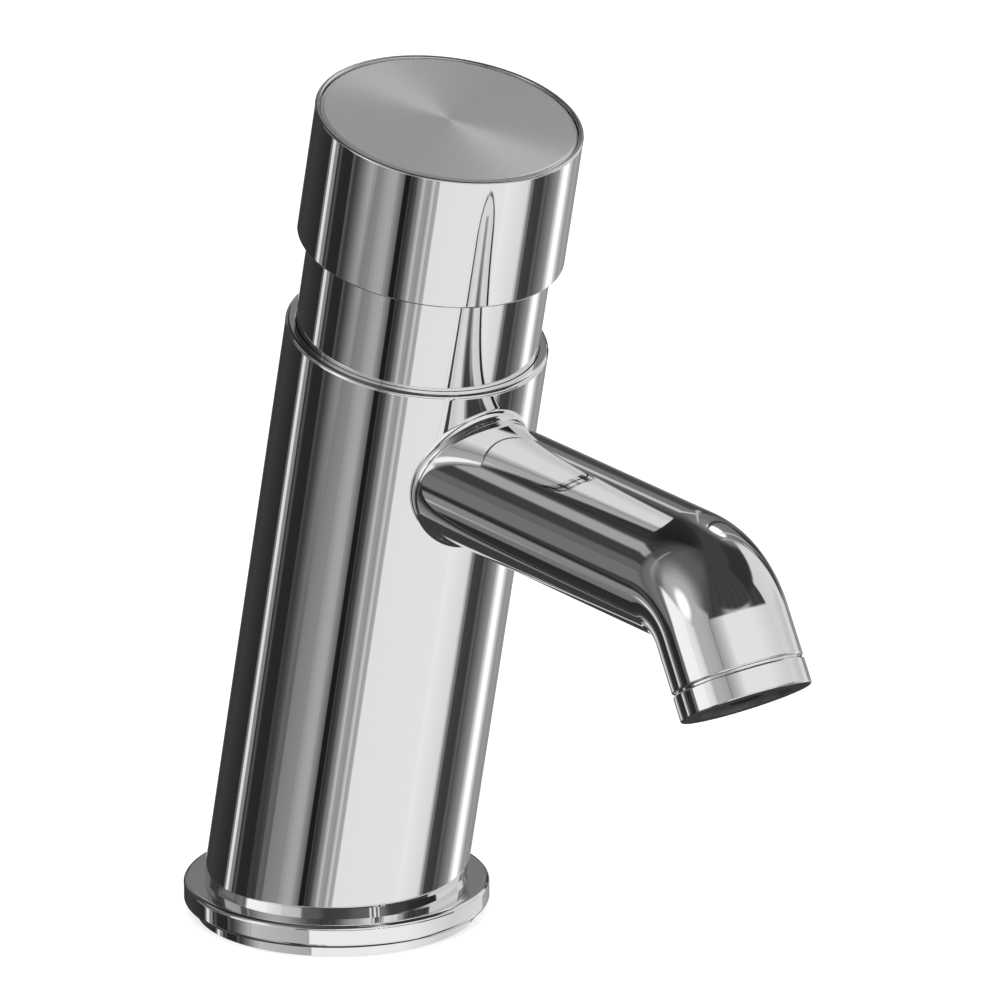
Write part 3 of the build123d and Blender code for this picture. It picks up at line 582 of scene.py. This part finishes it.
def turning_marks_group():
    """The fine rings that a lathe tool leaves, as waves of the distance from the leaning axis."""
    usual = {"Rings per Metre": 16000.0}
    group, given, results = shared_group("turning_marks", usual, ("Height",))
    place = from_foot_of_axis(group)
    across = calculated(group, VECTOR_MATH, "CROSS_PRODUCT", place, AXIS.tolist())
    radius = calculated(group, VECTOR_MATH, "LENGTH", across)
    along = calculated(group, VECTOR_MATH, "DOT_PRODUCT", place, AXIS.tolist())
    distance = calculated(group, MATH, "ADD", radius, along)
    rings = calculated(group, MATH, "MULTIPLY", distance, given["Rings per Metre"])
    uneven = group.nodes.new("ShaderNodeTexNoise")
    uneven.noise_dimensions = "1D"
    uneven.inputs["Scale"].default_value = 2600.0
    uneven.inputs["Detail"].default_value = 4.0
    group.links.new(distance, uneven.inputs["W"])
    wave = calculated(group, MATH, "SINE", rings)
    height = calculated(group, MATH, "ADD", wave, uneven.outputs["Fac"])
    group.links.new(height, results["Height"])
    return group


FINE_GRAIN = fine_grain_group()
TURNING_MARKS = turning_marks_group()


def placed_group(tree, group, **values):
    """The outputs of a shared group with its own values; a label's space is an underscore here."""
    node = tree.nodes.new("ShaderNodeGroup")
    node.node_tree = group
    for label, value in values.items():
        node.inputs[label.replace("_", " ")].default_value = value
    return node.outputs


def grained(tree, shader, colour, **values):
    """Gives a shader the colour and the roughness of the fine grain, and returns the grain."""
    grain = placed_group(tree, FINE_GRAIN, **values)
    tint = tree.nodes.new("ShaderNodeMix")
    tint.data_type = "RGBA"
    tint.blend_type = "MULTIPLY"
    factor, first, second = tint.inputs[0], tint.inputs[6], tint.inputs[7]
    factor.default_value = 1.0
    first.default_value = (*colour, 1.0)
    tree.links.new(grain["Shade"], second)
    tree.links.new(tint.outputs[2], shader.inputs["Base Color"])
    tree.links.new(grain["Roughness"], shader.inputs["Roughness"])
    return grain


def bumped(tree, shader, height, strength, depth):
    """Gives a shader the bump of a height, in metres of depth."""
    bump = tree.nodes.new("ShaderNodeBump")
    bump.inputs["Strength"].default_value = strength
    bump.inputs["Distance"].default_value = depth
    tree.links.new(height, bump.inputs["Height"])
    tree.links.new(bump.outputs["Normal"], shader.inputs["Normal"])


def polished_chrome():
    """Chrome plate with a mirror polish: a barely seen roughness and a faint waviness."""
    material, tree, shader = new_material("polished_chrome")
    shader.inputs["Metallic"].default_value = 1.0
    colour = (CHROME_TONE, CHROME_TONE, CHROME_TONE * 1.004)
    grained(
        tree, shader, colour, Scale=260.0, Roughness_Low=0.015, Roughness_High=0.05, Shade_Low=0.985
    )
    bumped(tree, shader, noise(tree, 60.0), 1.0, 0.00001)
    return material


def spun_metal():
    """The cap's matt disc, spun in fine rings, so that its highlights fan out from the centre."""
    material, tree, shader = new_material("spun_metal")
    shader.inputs["Metallic"].default_value = 0.68
    shader.inputs["Anisotropic"].default_value = 0.9
    shader.inputs["Anisotropic Rotation"].default_value = 0.25
    colour = (0.74, 0.74, 0.75)
    grained(
        tree, shader, colour, Scale=900.0, Roughness_Low=0.2, Roughness_High=0.25, Shade_Low=0.95
    )
    around = calculated(tree, VECTOR_MATH, "CROSS_PRODUCT", from_foot_of_axis(tree), AXIS.tolist())
    ring = calculated(tree, VECTOR_MATH, "NORMALIZE", around)
    tree.links.new(ring, shader.inputs["Tangent"])
    marks = placed_group(tree, TURNING_MARKS, Rings_per_Metre=26000.0)
    bumped(tree, shader, marks["Height"], 0.25, 0.000004)
    return material


def turned_metal(name, colour, low, high):
    """A machined metal: lathe rings on a grain that dulls it unevenly."""
    material, tree, shader = new_material(name)
    shader.inputs["Metallic"].default_value = 1.0
    grained(
        tree, shader, colour, Scale=500.0, Roughness_Low=low, Roughness_High=high, Shade_Low=0.86
    )
    marks = placed_group(tree, TURNING_MARKS, Rings_per_Metre=16000.0)
    bumped(tree, shader, marks["Height"], 0.4, 0.000012)
    return material


def moulded(name, colour, low, high, depth, gloss=0.5):
    """A moulded rubber or plastic: an even colour with a fine grain and a slightly uneven gloss."""
    material, tree, shader = new_material(name)
    shader.inputs["Specular IOR Level"].default_value = gloss
    grain = grained(
        tree, shader, colour, Scale=1400.0, Roughness_Low=low, Roughness_High=high, Shade_Low=0.85
    )
    bumped(tree, shader, grain["Height"], 0.5, depth)
    return material


def linear(grey):
    """The light level of a grey written as 0 to 255, by the standard curve of screens."""
    level = np.asarray(grey, float) / 255
    return np.where(level <= 0.04045, level / 12.92, ((level + 0.055) / 1.055) ** 2.4)


def card_material():
    """Plain emission whose strength is the card's own brightness attribute."""
    material, tree, shader = new_material("studio_card")
    tree.nodes.remove(shader)
    level = tree.nodes.new("ShaderNodeAttribute")
    level.attribute_name = "brightness"
    glow = tree.nodes.new("ShaderNodeEmission")
    output = tree.nodes["Material Output"]
    tree.links.new(level.outputs["Fac"], glow.inputs["Strength"])
    tree.links.new(glow.outputs["Emission"], output.inputs["Surface"])
    return material


def soft_step(distance, softness):
    """0 below -softness/2, 1 above +softness/2 and a smooth slope between them."""
    part = np.clip(distance / softness + 0.5, 0, 1)
    return part * part * (3 - 2 * part)


def paint_cards(level, azimuth, height, cards):
    """Lays soft-edged cards over the grey level of each direction, later ones on top.

    Each card is (first azimuth, last azimuth, lower edge, upper edge, first grey, last grey,
    softness across, softness upwards), in degrees from -Y towards +X and above the horizon."""
    for start, end, low, high, first, last, across, upwards in cards:
        turned_by = (azimuth - (start + end) / 2 + 180) % 360 - 180
        half = (end - start) / 2
        cover = soft_step(half - np.abs(turned_by), across)
        cover = cover * soft_step(height - low, upwards) * soft_step(high - height, upwards)
        grey = first + (last - first) * np.clip(turned_by / (2 * half) + 0.5, 0, 1)
        level = level + cover * (grey - level)
    return level


def paint_lamps(level, azimuth, height, lamps):
    """Lays round soft lamps over the level, each (azimuth, height, radius, softness, grey)."""
    for turned_to, raised, radius, softness, grey in lamps:
        upwards = np.sin(np.radians(height)) * sin(radians(raised))
        sideways = np.cos(np.radians(height)) * cos(radians(raised))
        cosine = upwards + sideways * np.cos(np.radians(azimuth - turned_to))
        away = np.degrees(np.arccos(np.clip(cosine, -1, 1)))
        level = level + soft_step(radius - away, softness) * (grey - level)
    return level


# Wide cards: dim upper walls, the pale sweep of the floor and a soft arc above the front wall
WIDE_CARDS = [
    (-130, -60, 28, 75, 92, 92, 30, 30),
    (100, 150, 12, 50, 116, 112, 16, 14),
    (150, 214, 40, 82, 44, 30, 22, 18),
    (38, 98, 42, 66, 48, 50, 10, 8),
    (-57, 62, -57, -3, 234, 234, 2, 3),
    (18, 64, -57, -3, 234, 203, 4, 3),
    (-46, 22, -57, -26, 223, 226, 4, 8),
    (-32, 26, 30, 39.0, 150, 178, 22, 3),
]

# Front wall, and its curved top edge: the cosine of the angle between the edge and the outlet's
# upward direction
WALL_EDGE = 0.127
WALL_EDGE_SOFTNESS = 0.02
FRONT_WALL = [
    (-58, 64, 0, 60, 226, 223, 3, 3),
    (-60, -32, 8, 60, 148, 226, 4, 6),
    (22, 64, 0, 60, 224, 204, 5, 4),
]

# Dark gap between floor and wall, and the bright wall on the right
GAP_CARDS = [
    (-66, 62, -7, 4, 90, 48, 3, 2.5),
    (-48, -22, -7, 4, 58, 70, 10, 2.5),
    (-24, 8, -7, 4, 84, 112, 8, 2.5),
    (28, 62, -13, 5, 48, 34, 8, 2.5),
    (61, 108, -25, 40, 205, 214, 2, 4),
    (61, 95, -5, 12, 198, 194, 3, 6),
    (107, 113, -25, 24, 205, 150, 2, 4),
    (113, 134, -8, 15, 120, 92, 6, 6),
    (108, 127, -3, 13, 46, 60, 2, 4),
    (130, 180, 2, 28, 110, 108, 8, 6),
    (130, 150, -12, 14, 96, 70, 5, 6),
    (113, 134, -26, -8, 168, 132, 4, 4),
]

# Left side: a pale wall with a tall window, above strips that stand on the floor
LEFT_CARDS = [
    (-122, -104, -25, -12, 55, 185, 2, 3),
    (-104, -57, -25, -12, 187, 166, 2, 3),
    (-124, -114, -12, 9, 80, 220, 3, 4),
    (-114, -98, -12, 9, 243, 240, 3, 4),
    (-98, -66, -12, 9, 222, 180, 3, 4),
    (-118, -98, 9, 26, 110, 185, 4, 4),
    (-98, -60, 9, 28, 200, 156, 4, 5),
    (-126, -116, -54, -25, 34, 36, 1, 4),
    (-124, -122, -54, -25, 92, 80, 1, 4),
    (-117, -76, -54, -25, 110, 130, 2, 3),
    (-117, -110, -54, -25, 98, 86, 1.5, 3),
    (-110, -96, -54, -25, 124, 135, 1.5, 3),
    (-96, -88, -54, -25, 139, 165, 1.5, 3),
    (-88, -82, -54, -25, 165, 158, 1.5, 3),
    (-82, -76, -54, -25, 146, 96, 1.5, 3),
    (-76, -70.5, -54, -25, 26, 28, 1, 3),
    (-71, -44.7, -54, -25, 100, 160, 1, 3),
    (-70.5, -64.5, -54, -25, 40, 82, 1, 3),
    (-64.5, -61, -54, -25, 108, 132, 1, 3),
    (-61, -57.7, -54, -25, 150, 200, 1, 3),
    (-57.7, -52, -54, -25, 158, 140, 1, 3),
    (-52, -48.6, -54, -25, 165, 210, 1, 3),
    (-48.6, -44.7, -54, -25, 160, 162, 1, 3),
]

# Right side: strips on the floor and one tall bright panel
RIGHT_CARDS = [
    (48, 134, -54, -25, 110, 130, 1.5, 3),
    (47.5, 50.5, -54, -25, 198, 160, 1, 3),
    (50.5, 53.5, -54, -25, 113, 122, 1, 3),
    (53.5, 66, -54, -25, 66, 56, 1.5, 3),
    (66, 69.3, -54, -25, 72, 98, 1, 3),
    (69.3, 72.5, -54, -25, 76, 80, 1, 3),
    (72.5, 86, -54, -25, 90, 146, 1, 3),
    (86, 92, -54, -25, 158, 232, 1, 3),
    (92, 102, -54, -22, 255, 255, 1, 3),
    (102, 110, -54, -22, 226, 148, 1, 3),
    (110, 120, -54, -22, 144, 150, 1.5, 3),
    (120, 134, -54, -22, 142, 131, 1.5, 3),
]

# Behind the tap: dark walls with a few thin bright gaps
BACK_CARDS = [
    (134, 157, -12, -2, 118, 118, 4, 3),
    (134, 157, 1, 15, 66, 74, 4, 5),
    (134, 157, 17, 24, 110, 124, 4, 4),
    (138, 157, 25, 29, 190, 200, 4, 2),
    (-180, -154, -50, -10, 57, 40, 2, 4),
    (132, 180, -57, -24, 58, 57, 3, 4),
    (157, 180, -50, -2, 55, 57, 2, 4),
    (-160, -136, 22.5, 32, 164, 154, 4, 3),
    (-160, -134, 15, 22, 60, 62, 4, 2.5),
    (-160, -134, 4, 12, 97, 99, 4, 3),
    (-160, -134, -11, 4, 114, 110, 4, 3),
    (-134, -124, -20, 30, 100, 118, 4, 6),
    (-154, -143, -50, -12, 110, 120, 1, 3),
    (-151.5, -147.6, -25, -13, 228, 215, 0.8, 3),
    (-147.6, -143.3, -25, -13, 129, 134, 0.8, 3),
    (-143.3, -126, -50, -12, 42, 38, 1, 3),
    (-141.6, -138.4, -25, -13, 76, 74, 1, 3),
    (133, 157, -25, -13, 130, 90, 1, 3),
    (134.3, 135.6, -25, -13, 190, 190, 0.8, 3),
    (139.3, 152.3, -25, -13, 246, 248, 0.8, 3),
    (152.3, 154.6, -25, -13, 166, 160, 0.8, 3),
]

# Thin bright slits in the dark gap, and tall streaks beside the right lamp
SLIT_CARDS = [
    (-120, -97, -12, 9, 243, 240, 3, 4),
    (-97, -84, -12, 9, 230, 208, 3, 4),
    (-7.2, -5.6, -12, 8, 225, 225, 0.8, 2),
    (-3.4, -1.8, -12, 8, 238, 238, 0.8, 2),
    (0.2, 1.6, -12, 8, 215, 215, 0.8, 2),
    (108, 110, 2, 55, 168, 160, 1.5, 8),
    (116, 117.5, 2, 50, 190, 190, 1.2, 8),
    (127, 129, 8, 50, 60, 60, 1.5, 8),
    (137, 138.5, 10, 46, 180, 180, 1.2, 8),
    (-128, -126, 12, 50, 140, 140, 1.5, 8),
]

# Soft lamps, high on the left and behind on the right
LAMPS = [
    (-96, 21, 23, 26, 172),
    (-97, 17, 9, 6, 255),
    (121, 45.5, 12, 12, 130),
    (121, 45.5, 6, 4, 335),
]

# Middle and radius of the dome in metres, and its grid
STUDIO_CENTRE = np.array([0.0, -0.045, 0.08])
STUDIO_RADIUS = 8.0
DOME_COLUMNS = 720
DOME_ROWS = 180

# Dim greys behind all cards, and where and how softly the lower one turns into the upper
GROUND_GREY = 61.0
CEILING_GREY = 62.0
CEILING_RIPPLE = 12
CEILING_EDGE = 20
CEILING_SOFTNESS = 40.0


def studio_greys(azimuth, height, towards):
    """The grey that each direction shows: a dim ripple with the cards and lamps laid over it."""
    turn, rise = np.radians(azimuth), np.radians(height)
    ripple = np.sin(turn * 41) * np.sin(turn * 17 + 1) * np.cos(rise) ** 2
    above = CEILING_GREY + CEILING_RIPPLE * ripple - GROUND_GREY
    grey = GROUND_GREY + above * soft_step(height - CEILING_EDGE, CEILING_SOFTNESS)
    grey = paint_cards(grey, azimuth, height, WIDE_CARDS)
    below_edge = soft_step(WALL_EDGE - towards @ OUTLET_UP, WALL_EDGE_SOFTNESS)
    grey = grey + below_edge * (paint_cards(grey, azimuth, height, FRONT_WALL) - grey)
    for cards in (GAP_CARDS, LEFT_CARDS, RIGHT_CARDS, BACK_CARDS):
        grey = paint_cards(grey, azimuth, height, cards)
    grey = paint_lamps(grey, azimuth, height, LAMPS)
    return paint_cards(grey, azimuth, height, SLIT_CARDS)


def put_in_studio(name, points, faces, material):
    """A mesh that belongs to the studio, not to the tap."""
    mesh = bpy.data.meshes.new(name)
    mesh.from_pydata(points, [], faces)
    mesh.materials.append(material)
    piece = bpy.data.objects.new(name, mesh)
    bpy.context.scene.collection.objects.link(piece)
    return piece


def studio_dome():
    """The studio round the tap as a dome of greys, seen only in its mirror surfaces."""
    azimuth, height = np.meshgrid(
        np.linspace(-180, 180, DOME_COLUMNS + 1), np.linspace(-90, 90, DOME_ROWS + 1)
    )
    turn, rise = np.radians(azimuth), np.radians(height)
    level = np.cos(rise)
    towards = np.stack([np.sin(turn) * level, -np.cos(turn) * level, np.sin(rise)], -1)
    grey = studio_greys(azimuth, height, towards)
    points = (STUDIO_CENTRE + STUDIO_RADIUS * towards).reshape(-1, 3)
    index = np.arange(grey.size).reshape(grey.shape)
    quads = np.stack([index[:-1, :-1], index[:-1, 1:], index[1:, 1:], index[1:, :-1]], -1)
    faces = quads.reshape(-1, 4).tolist()
    dome = put_in_studio("studio_dome", points.tolist(), faces, card_material())
    brightness = dome.data.attributes.new("brightness", "FLOAT", "POINT")
    brightness.data.foreach_set("value", (linear(grey) / CHROME_TONE).reshape(-1))
    dome.visible_camera = False
    dome.visible_diffuse = False
    dome.visible_transmission = False
    dome.visible_shadow = False


# Half width and level of the floor in metres, its tone, and its lift towards white for the camera
FLOOR_REACH = 9
FLOOR_LEVEL = -0.0001
FLOOR_TONE = 0.9
FLOOR_LIFT = 0.55

# Strength of the background as an even light; the camera, mirrors and glass see it in full
EVEN_LIGHT = 0.72

# The photograph's viewing angle, and the camera's aim and distance in metres
VIEW_AZIMUTH = radians(-36.163)
VIEW_ELEVATION = radians(18.061)
AIM = Vector((40.69, 1.17, 76.52)) * MM
DISTANCE = 3.0303


def pale_floor():
    """A near-white floor that keeps the tap's shadow and is lifted to the white background."""
    material, tree, shader = new_material("pale_floor")
    shader.inputs["Base Color"].default_value = (FLOOR_TONE, FLOOR_TONE, FLOOR_TONE, 1.0)
    shader.inputs["Roughness"].default_value = 0.9
    shader.inputs["Emission Color"].default_value = (1.0, 1.0, 1.0, 1.0)
    rays = tree.nodes.new("ShaderNodeLightPath").outputs
    lift = calculated(tree, MATH, "MULTIPLY", rays["Is Camera Ray"], FLOOR_LIFT)
    tree.links.new(lift, shader.inputs["Emission Strength"])
    signs = ((-1, -1), (1, -1), (1, 1), (-1, 1))
    corners = [(across * FLOOR_REACH, back * FLOOR_REACH, FLOOR_LEVEL) for across, back in signs]
    floor = put_in_studio("floor", corners, [(0, 1, 2, 3)], material)
    floor.visible_glossy = False


def soft_lamp():
    """A wide soft lamp, high on the left, for all but the mirrors, which see the dome instead."""
    data = bpy.data.lights.new("soft_lamp", "AREA")
    data.shape = "DISK"
    data.size = 1.6
    data.energy = 11.0
    lamp = bpy.data.objects.new("soft_lamp", data)
    bpy.context.scene.collection.objects.link(lamp)
    lamp.location = (-1.1, -1.0, 1.4)
    lamp.rotation_mode = "QUATERNION"
    lamp.rotation_quaternion = lamp.location.to_track_quat("Z", "Y")
    lamp.visible_glossy = False


def white_background():
    """White for the camera, in mirrors and through glass; a little less as the even light."""
    world = bpy.data.worlds.new("studio")
    bpy.context.scene.world = world
    world.use_nodes = True
    tree = world.node_tree
    sky = tree.nodes["Background"]
    sky.inputs["Color"].default_value = (1.0, 1.0, 1.0, 1.0)
    rays = tree.nodes.new("ShaderNodeLightPath").outputs
    seen = calculated(tree, MATH, "MAXIMUM", rays["Is Camera Ray"], rays["Is Glossy Ray"])
    seen = calculated(tree, MATH, "MAXIMUM", seen, rays["Is Transmission Ray"])
    tree.links.new(ranged(tree, seen, EVEN_LIGHT, 1.0), sky.inputs["Strength"])


def camera_at_view():
    """The camera that sees the tap as the photograph does."""
    level = cos(VIEW_ELEVATION)
    to_camera = Vector((sin(VIEW_AZIMUTH) * level, -cos(VIEW_AZIMUTH) * level, sin(VIEW_ELEVATION)))
    camera = bpy.data.objects.new("camera", bpy.data.cameras.new("camera"))
    bpy.context.scene.collection.objects.link(camera)
    camera.data.sensor_width = 36.0
    camera.data.lens = 554.2
    camera.data.clip_end = 100.0
    camera.rotation_mode = "QUATERNION"
    camera.location = AIM + to_camera * DISTANCE
    camera.rotation_quaternion = (-to_camera).to_track_quat("-Z", "Y")
    bpy.context.scene.camera = camera


# The shown pieces: each stands for its CAD solid, with the same sizes and exact round surfaces
casting = object_from_patches(
    "barrel_and_spout",
    tap_body_patches(),
    "tap",
    "polished_chrome",
    "tap_body",
    inside_of_casting(),
)
rosette_outline = [
    (FLANGE_BORE, RING_TOP),
    (FLANGE_RADIUS, RING_TOP, FLANGE_ROUND),
    (FLANGE_RADIUS, FLANGE_TOP, FLANGE_ROUND),
    (FLANGE_BORE, FLANGE_TOP),
]
rosette = object_from_patches(
    "rosette", turned(UPRIGHT, rosette_outline), "tap", "polished_chrome", "base_flange"
)
foot_ring_outline = [
    (RING_BORE, 0),
    (SEAL_GROOVE_BORE, 0),
    (SEAL_GROOVE_BORE, SEAL_GROOVE_DEPTH),
    (SEAL_GROOVE_RADIUS, SEAL_GROOVE_DEPTH),
    (SEAL_GROOVE_RADIUS, 0),
    (RING_RADIUS, 0),
    (RING_RADIUS, RING_TOP),
    (RING_BORE, RING_TOP),
]
foot_ring = object_from_patches(
    "rosette_foot_ring", turned(UPRIGHT, foot_ring_outline), "tap", "polished_chrome", "base_ring"
)
neck_outline = [
    (NECK_BORE, NECK_FOOT),
    (NECK_FOOT_RADIUS, NECK_FOOT),
    (NECK_FOOT_RADIUS, NECK_SEAT),
    (NECK_RADIUS, NECK_SEAT),
    (NECK_RADIUS, GUIDE_GROOVE_FOOT),
    (GUIDE_GROOVE_RADIUS, GUIDE_GROOVE_FOOT),
    (GUIDE_GROOVE_RADIUS, GUIDE_GROOVE_TOP),
    (NECK_RADIUS, GUIDE_GROOVE_TOP),
    (NECK_RADIUS, NECK_TOP, NECK_ROUND),
    (NECK_BORE, NECK_TOP),
]
neck = object_from_patches(
    "polished_neck", turned(LEANING, neck_outline), "tap", "polished_chrome", "neck_sleeve"
)
cap_outline = [
    (CAP_BORE, CAP_FOOT),
    (CAP_RADIUS, CAP_FOOT, CAP_ROUND),
    (CAP_RADIUS, CAP_TOP, CAP_ROUND),
    (DISC_RECESS_RADIUS, CAP_TOP, DISC_RECESS_ROUND),
    (DISC_RECESS_RADIUS, DISC_SEAT),
    (SCREW_RECESS_RADIUS, DISC_SEAT),
    (SCREW_RECESS_RADIUS, SCREW_SEAT),
    (SCREW_HOLE_RADIUS, SCREW_SEAT),
    (SCREW_HOLE_RADIUS, CROWN_FOOT),
    (STEM_SOCKET_RADIUS, CROWN_FOOT),
    (STEM_SOCKET_RADIUS, HUB_FOOT),
    (HUB_RADIUS, HUB_FOOT),
    (HUB_RADIUS, CROWN_FOOT),
    (CAP_BORE, CROWN_FOOT),
]
cap = object_from_patches(
    "push_cap", turned(LEANING, cap_outline), "push_cap", "polished_chrome", "cap_shell"
)
disc_outline = [
    (0, DISC_SEAT),
    (DISC_RADIUS, DISC_SEAT),
    (DISC_RADIUS, DISC_TOP, DISC_ROUND),
    (0, DISC_TOP),
]
disc = object_from_patches(
    "spun_cap_disc",
    turned(LEANING, disc_outline, closed=False),
    "push_cap",
    "spun_metal",
    "cap_top_disc",
)
outlet_ring_outline = [
    (OUTLET_LIP_RADIUS, 0),
    (SPOUT_RADIUS, 0, OUTLET_RING_ROUND),
    (SPOUT_RADIUS, OUTLET_RING_HEIGHT, OUTLET_RING_ROUND),
    (OUTLET_GROOVE_RADIUS, OUTLET_RING_HEIGHT),
    (OUTLET_GROOVE_RADIUS, TUBE_END),
    (OUTLET_RING_THREAD, TUBE_END),
    (OUTLET_RING_THREAD, OUTLET_RING_TOP),
    (OUTLET_RING_BORE, OUTLET_RING_TOP),
    (OUTLET_RING_BORE, OUTLET_LIP_HEIGHT),
    (OUTLET_LIP_RADIUS, OUTLET_LIP_HEIGHT),
]
outlet_ring = object_from_patches(
    "outlet_ring",
    turned(OUTLET_FRAME, outlet_ring_outline),
    "tap",
    "polished_chrome",
    "aerator_housing",
)
insert_outline = [
    (INSERT_HOLE_RADIUS, OUTLET_LIP_HEIGHT),
    (INSERT_RADIUS, OUTLET_LIP_HEIGHT),
    (INSERT_RADIUS, INSERT_TOP),
    (INSERT_BORE, INSERT_TOP),
    (INSERT_BORE, INSERT_FACE_TOP),
    (INSERT_HOLE_RADIUS, INSERT_FACE_TOP),
]
outlet_insert = object_from_patches(
    "outlet_insert", turned(OUTLET_FRAME, insert_outline), "tap", "grey_plastic", "aerator_insert"
)

# The spring, which the cap's travel presses down onto its seat, is built here at one length, with a
# mesh of its own
spring = object_from_patches(
    "return_coil", coil_patches(), "tap", "stainless_steel", "return_spring"
)
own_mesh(spring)

FINISHES = {
    "polished_chrome": polished_chrome(),
    "spun_metal": spun_metal(),
    "stainless_steel": turned_metal("stainless_steel", (0.66, 0.66, 0.66), 0.22, 0.36),
    "brass": turned_metal("brass", (0.76, 0.60, 0.32), 0.2, 0.38),
    "black_rubber": moulded("black_rubber", (0.03, 0.03, 0.03), 0.5, 0.7, 0.00002),
    "grey_plastic": moulded("grey_plastic", (0.05, 0.05, 0.052), 0.5, 0.65, 0.00001, 0.12),
    "white_plastic": moulded("white_plastic", (0.80, 0.80, 0.78), 0.35, 0.5, 0.00001),
}
for piece in (casting, rosette, foot_ring, neck, cap, disc, outlet_ring, outlet_insert, spring):
    piece.data.materials.append(FINISHES[piece["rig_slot"]])
for row in frame["record"]["subparts"]:
    slots = frame["nodes"][row["node"]].data.materials
    slots.clear()
    slots.append(FINISHES[row["material_slot"]])

studio_dome()
pale_floor()
soft_lamp()
white_background()
camera_at_view()
bpy.context.scene.view_settings.view_transform = "Standard"
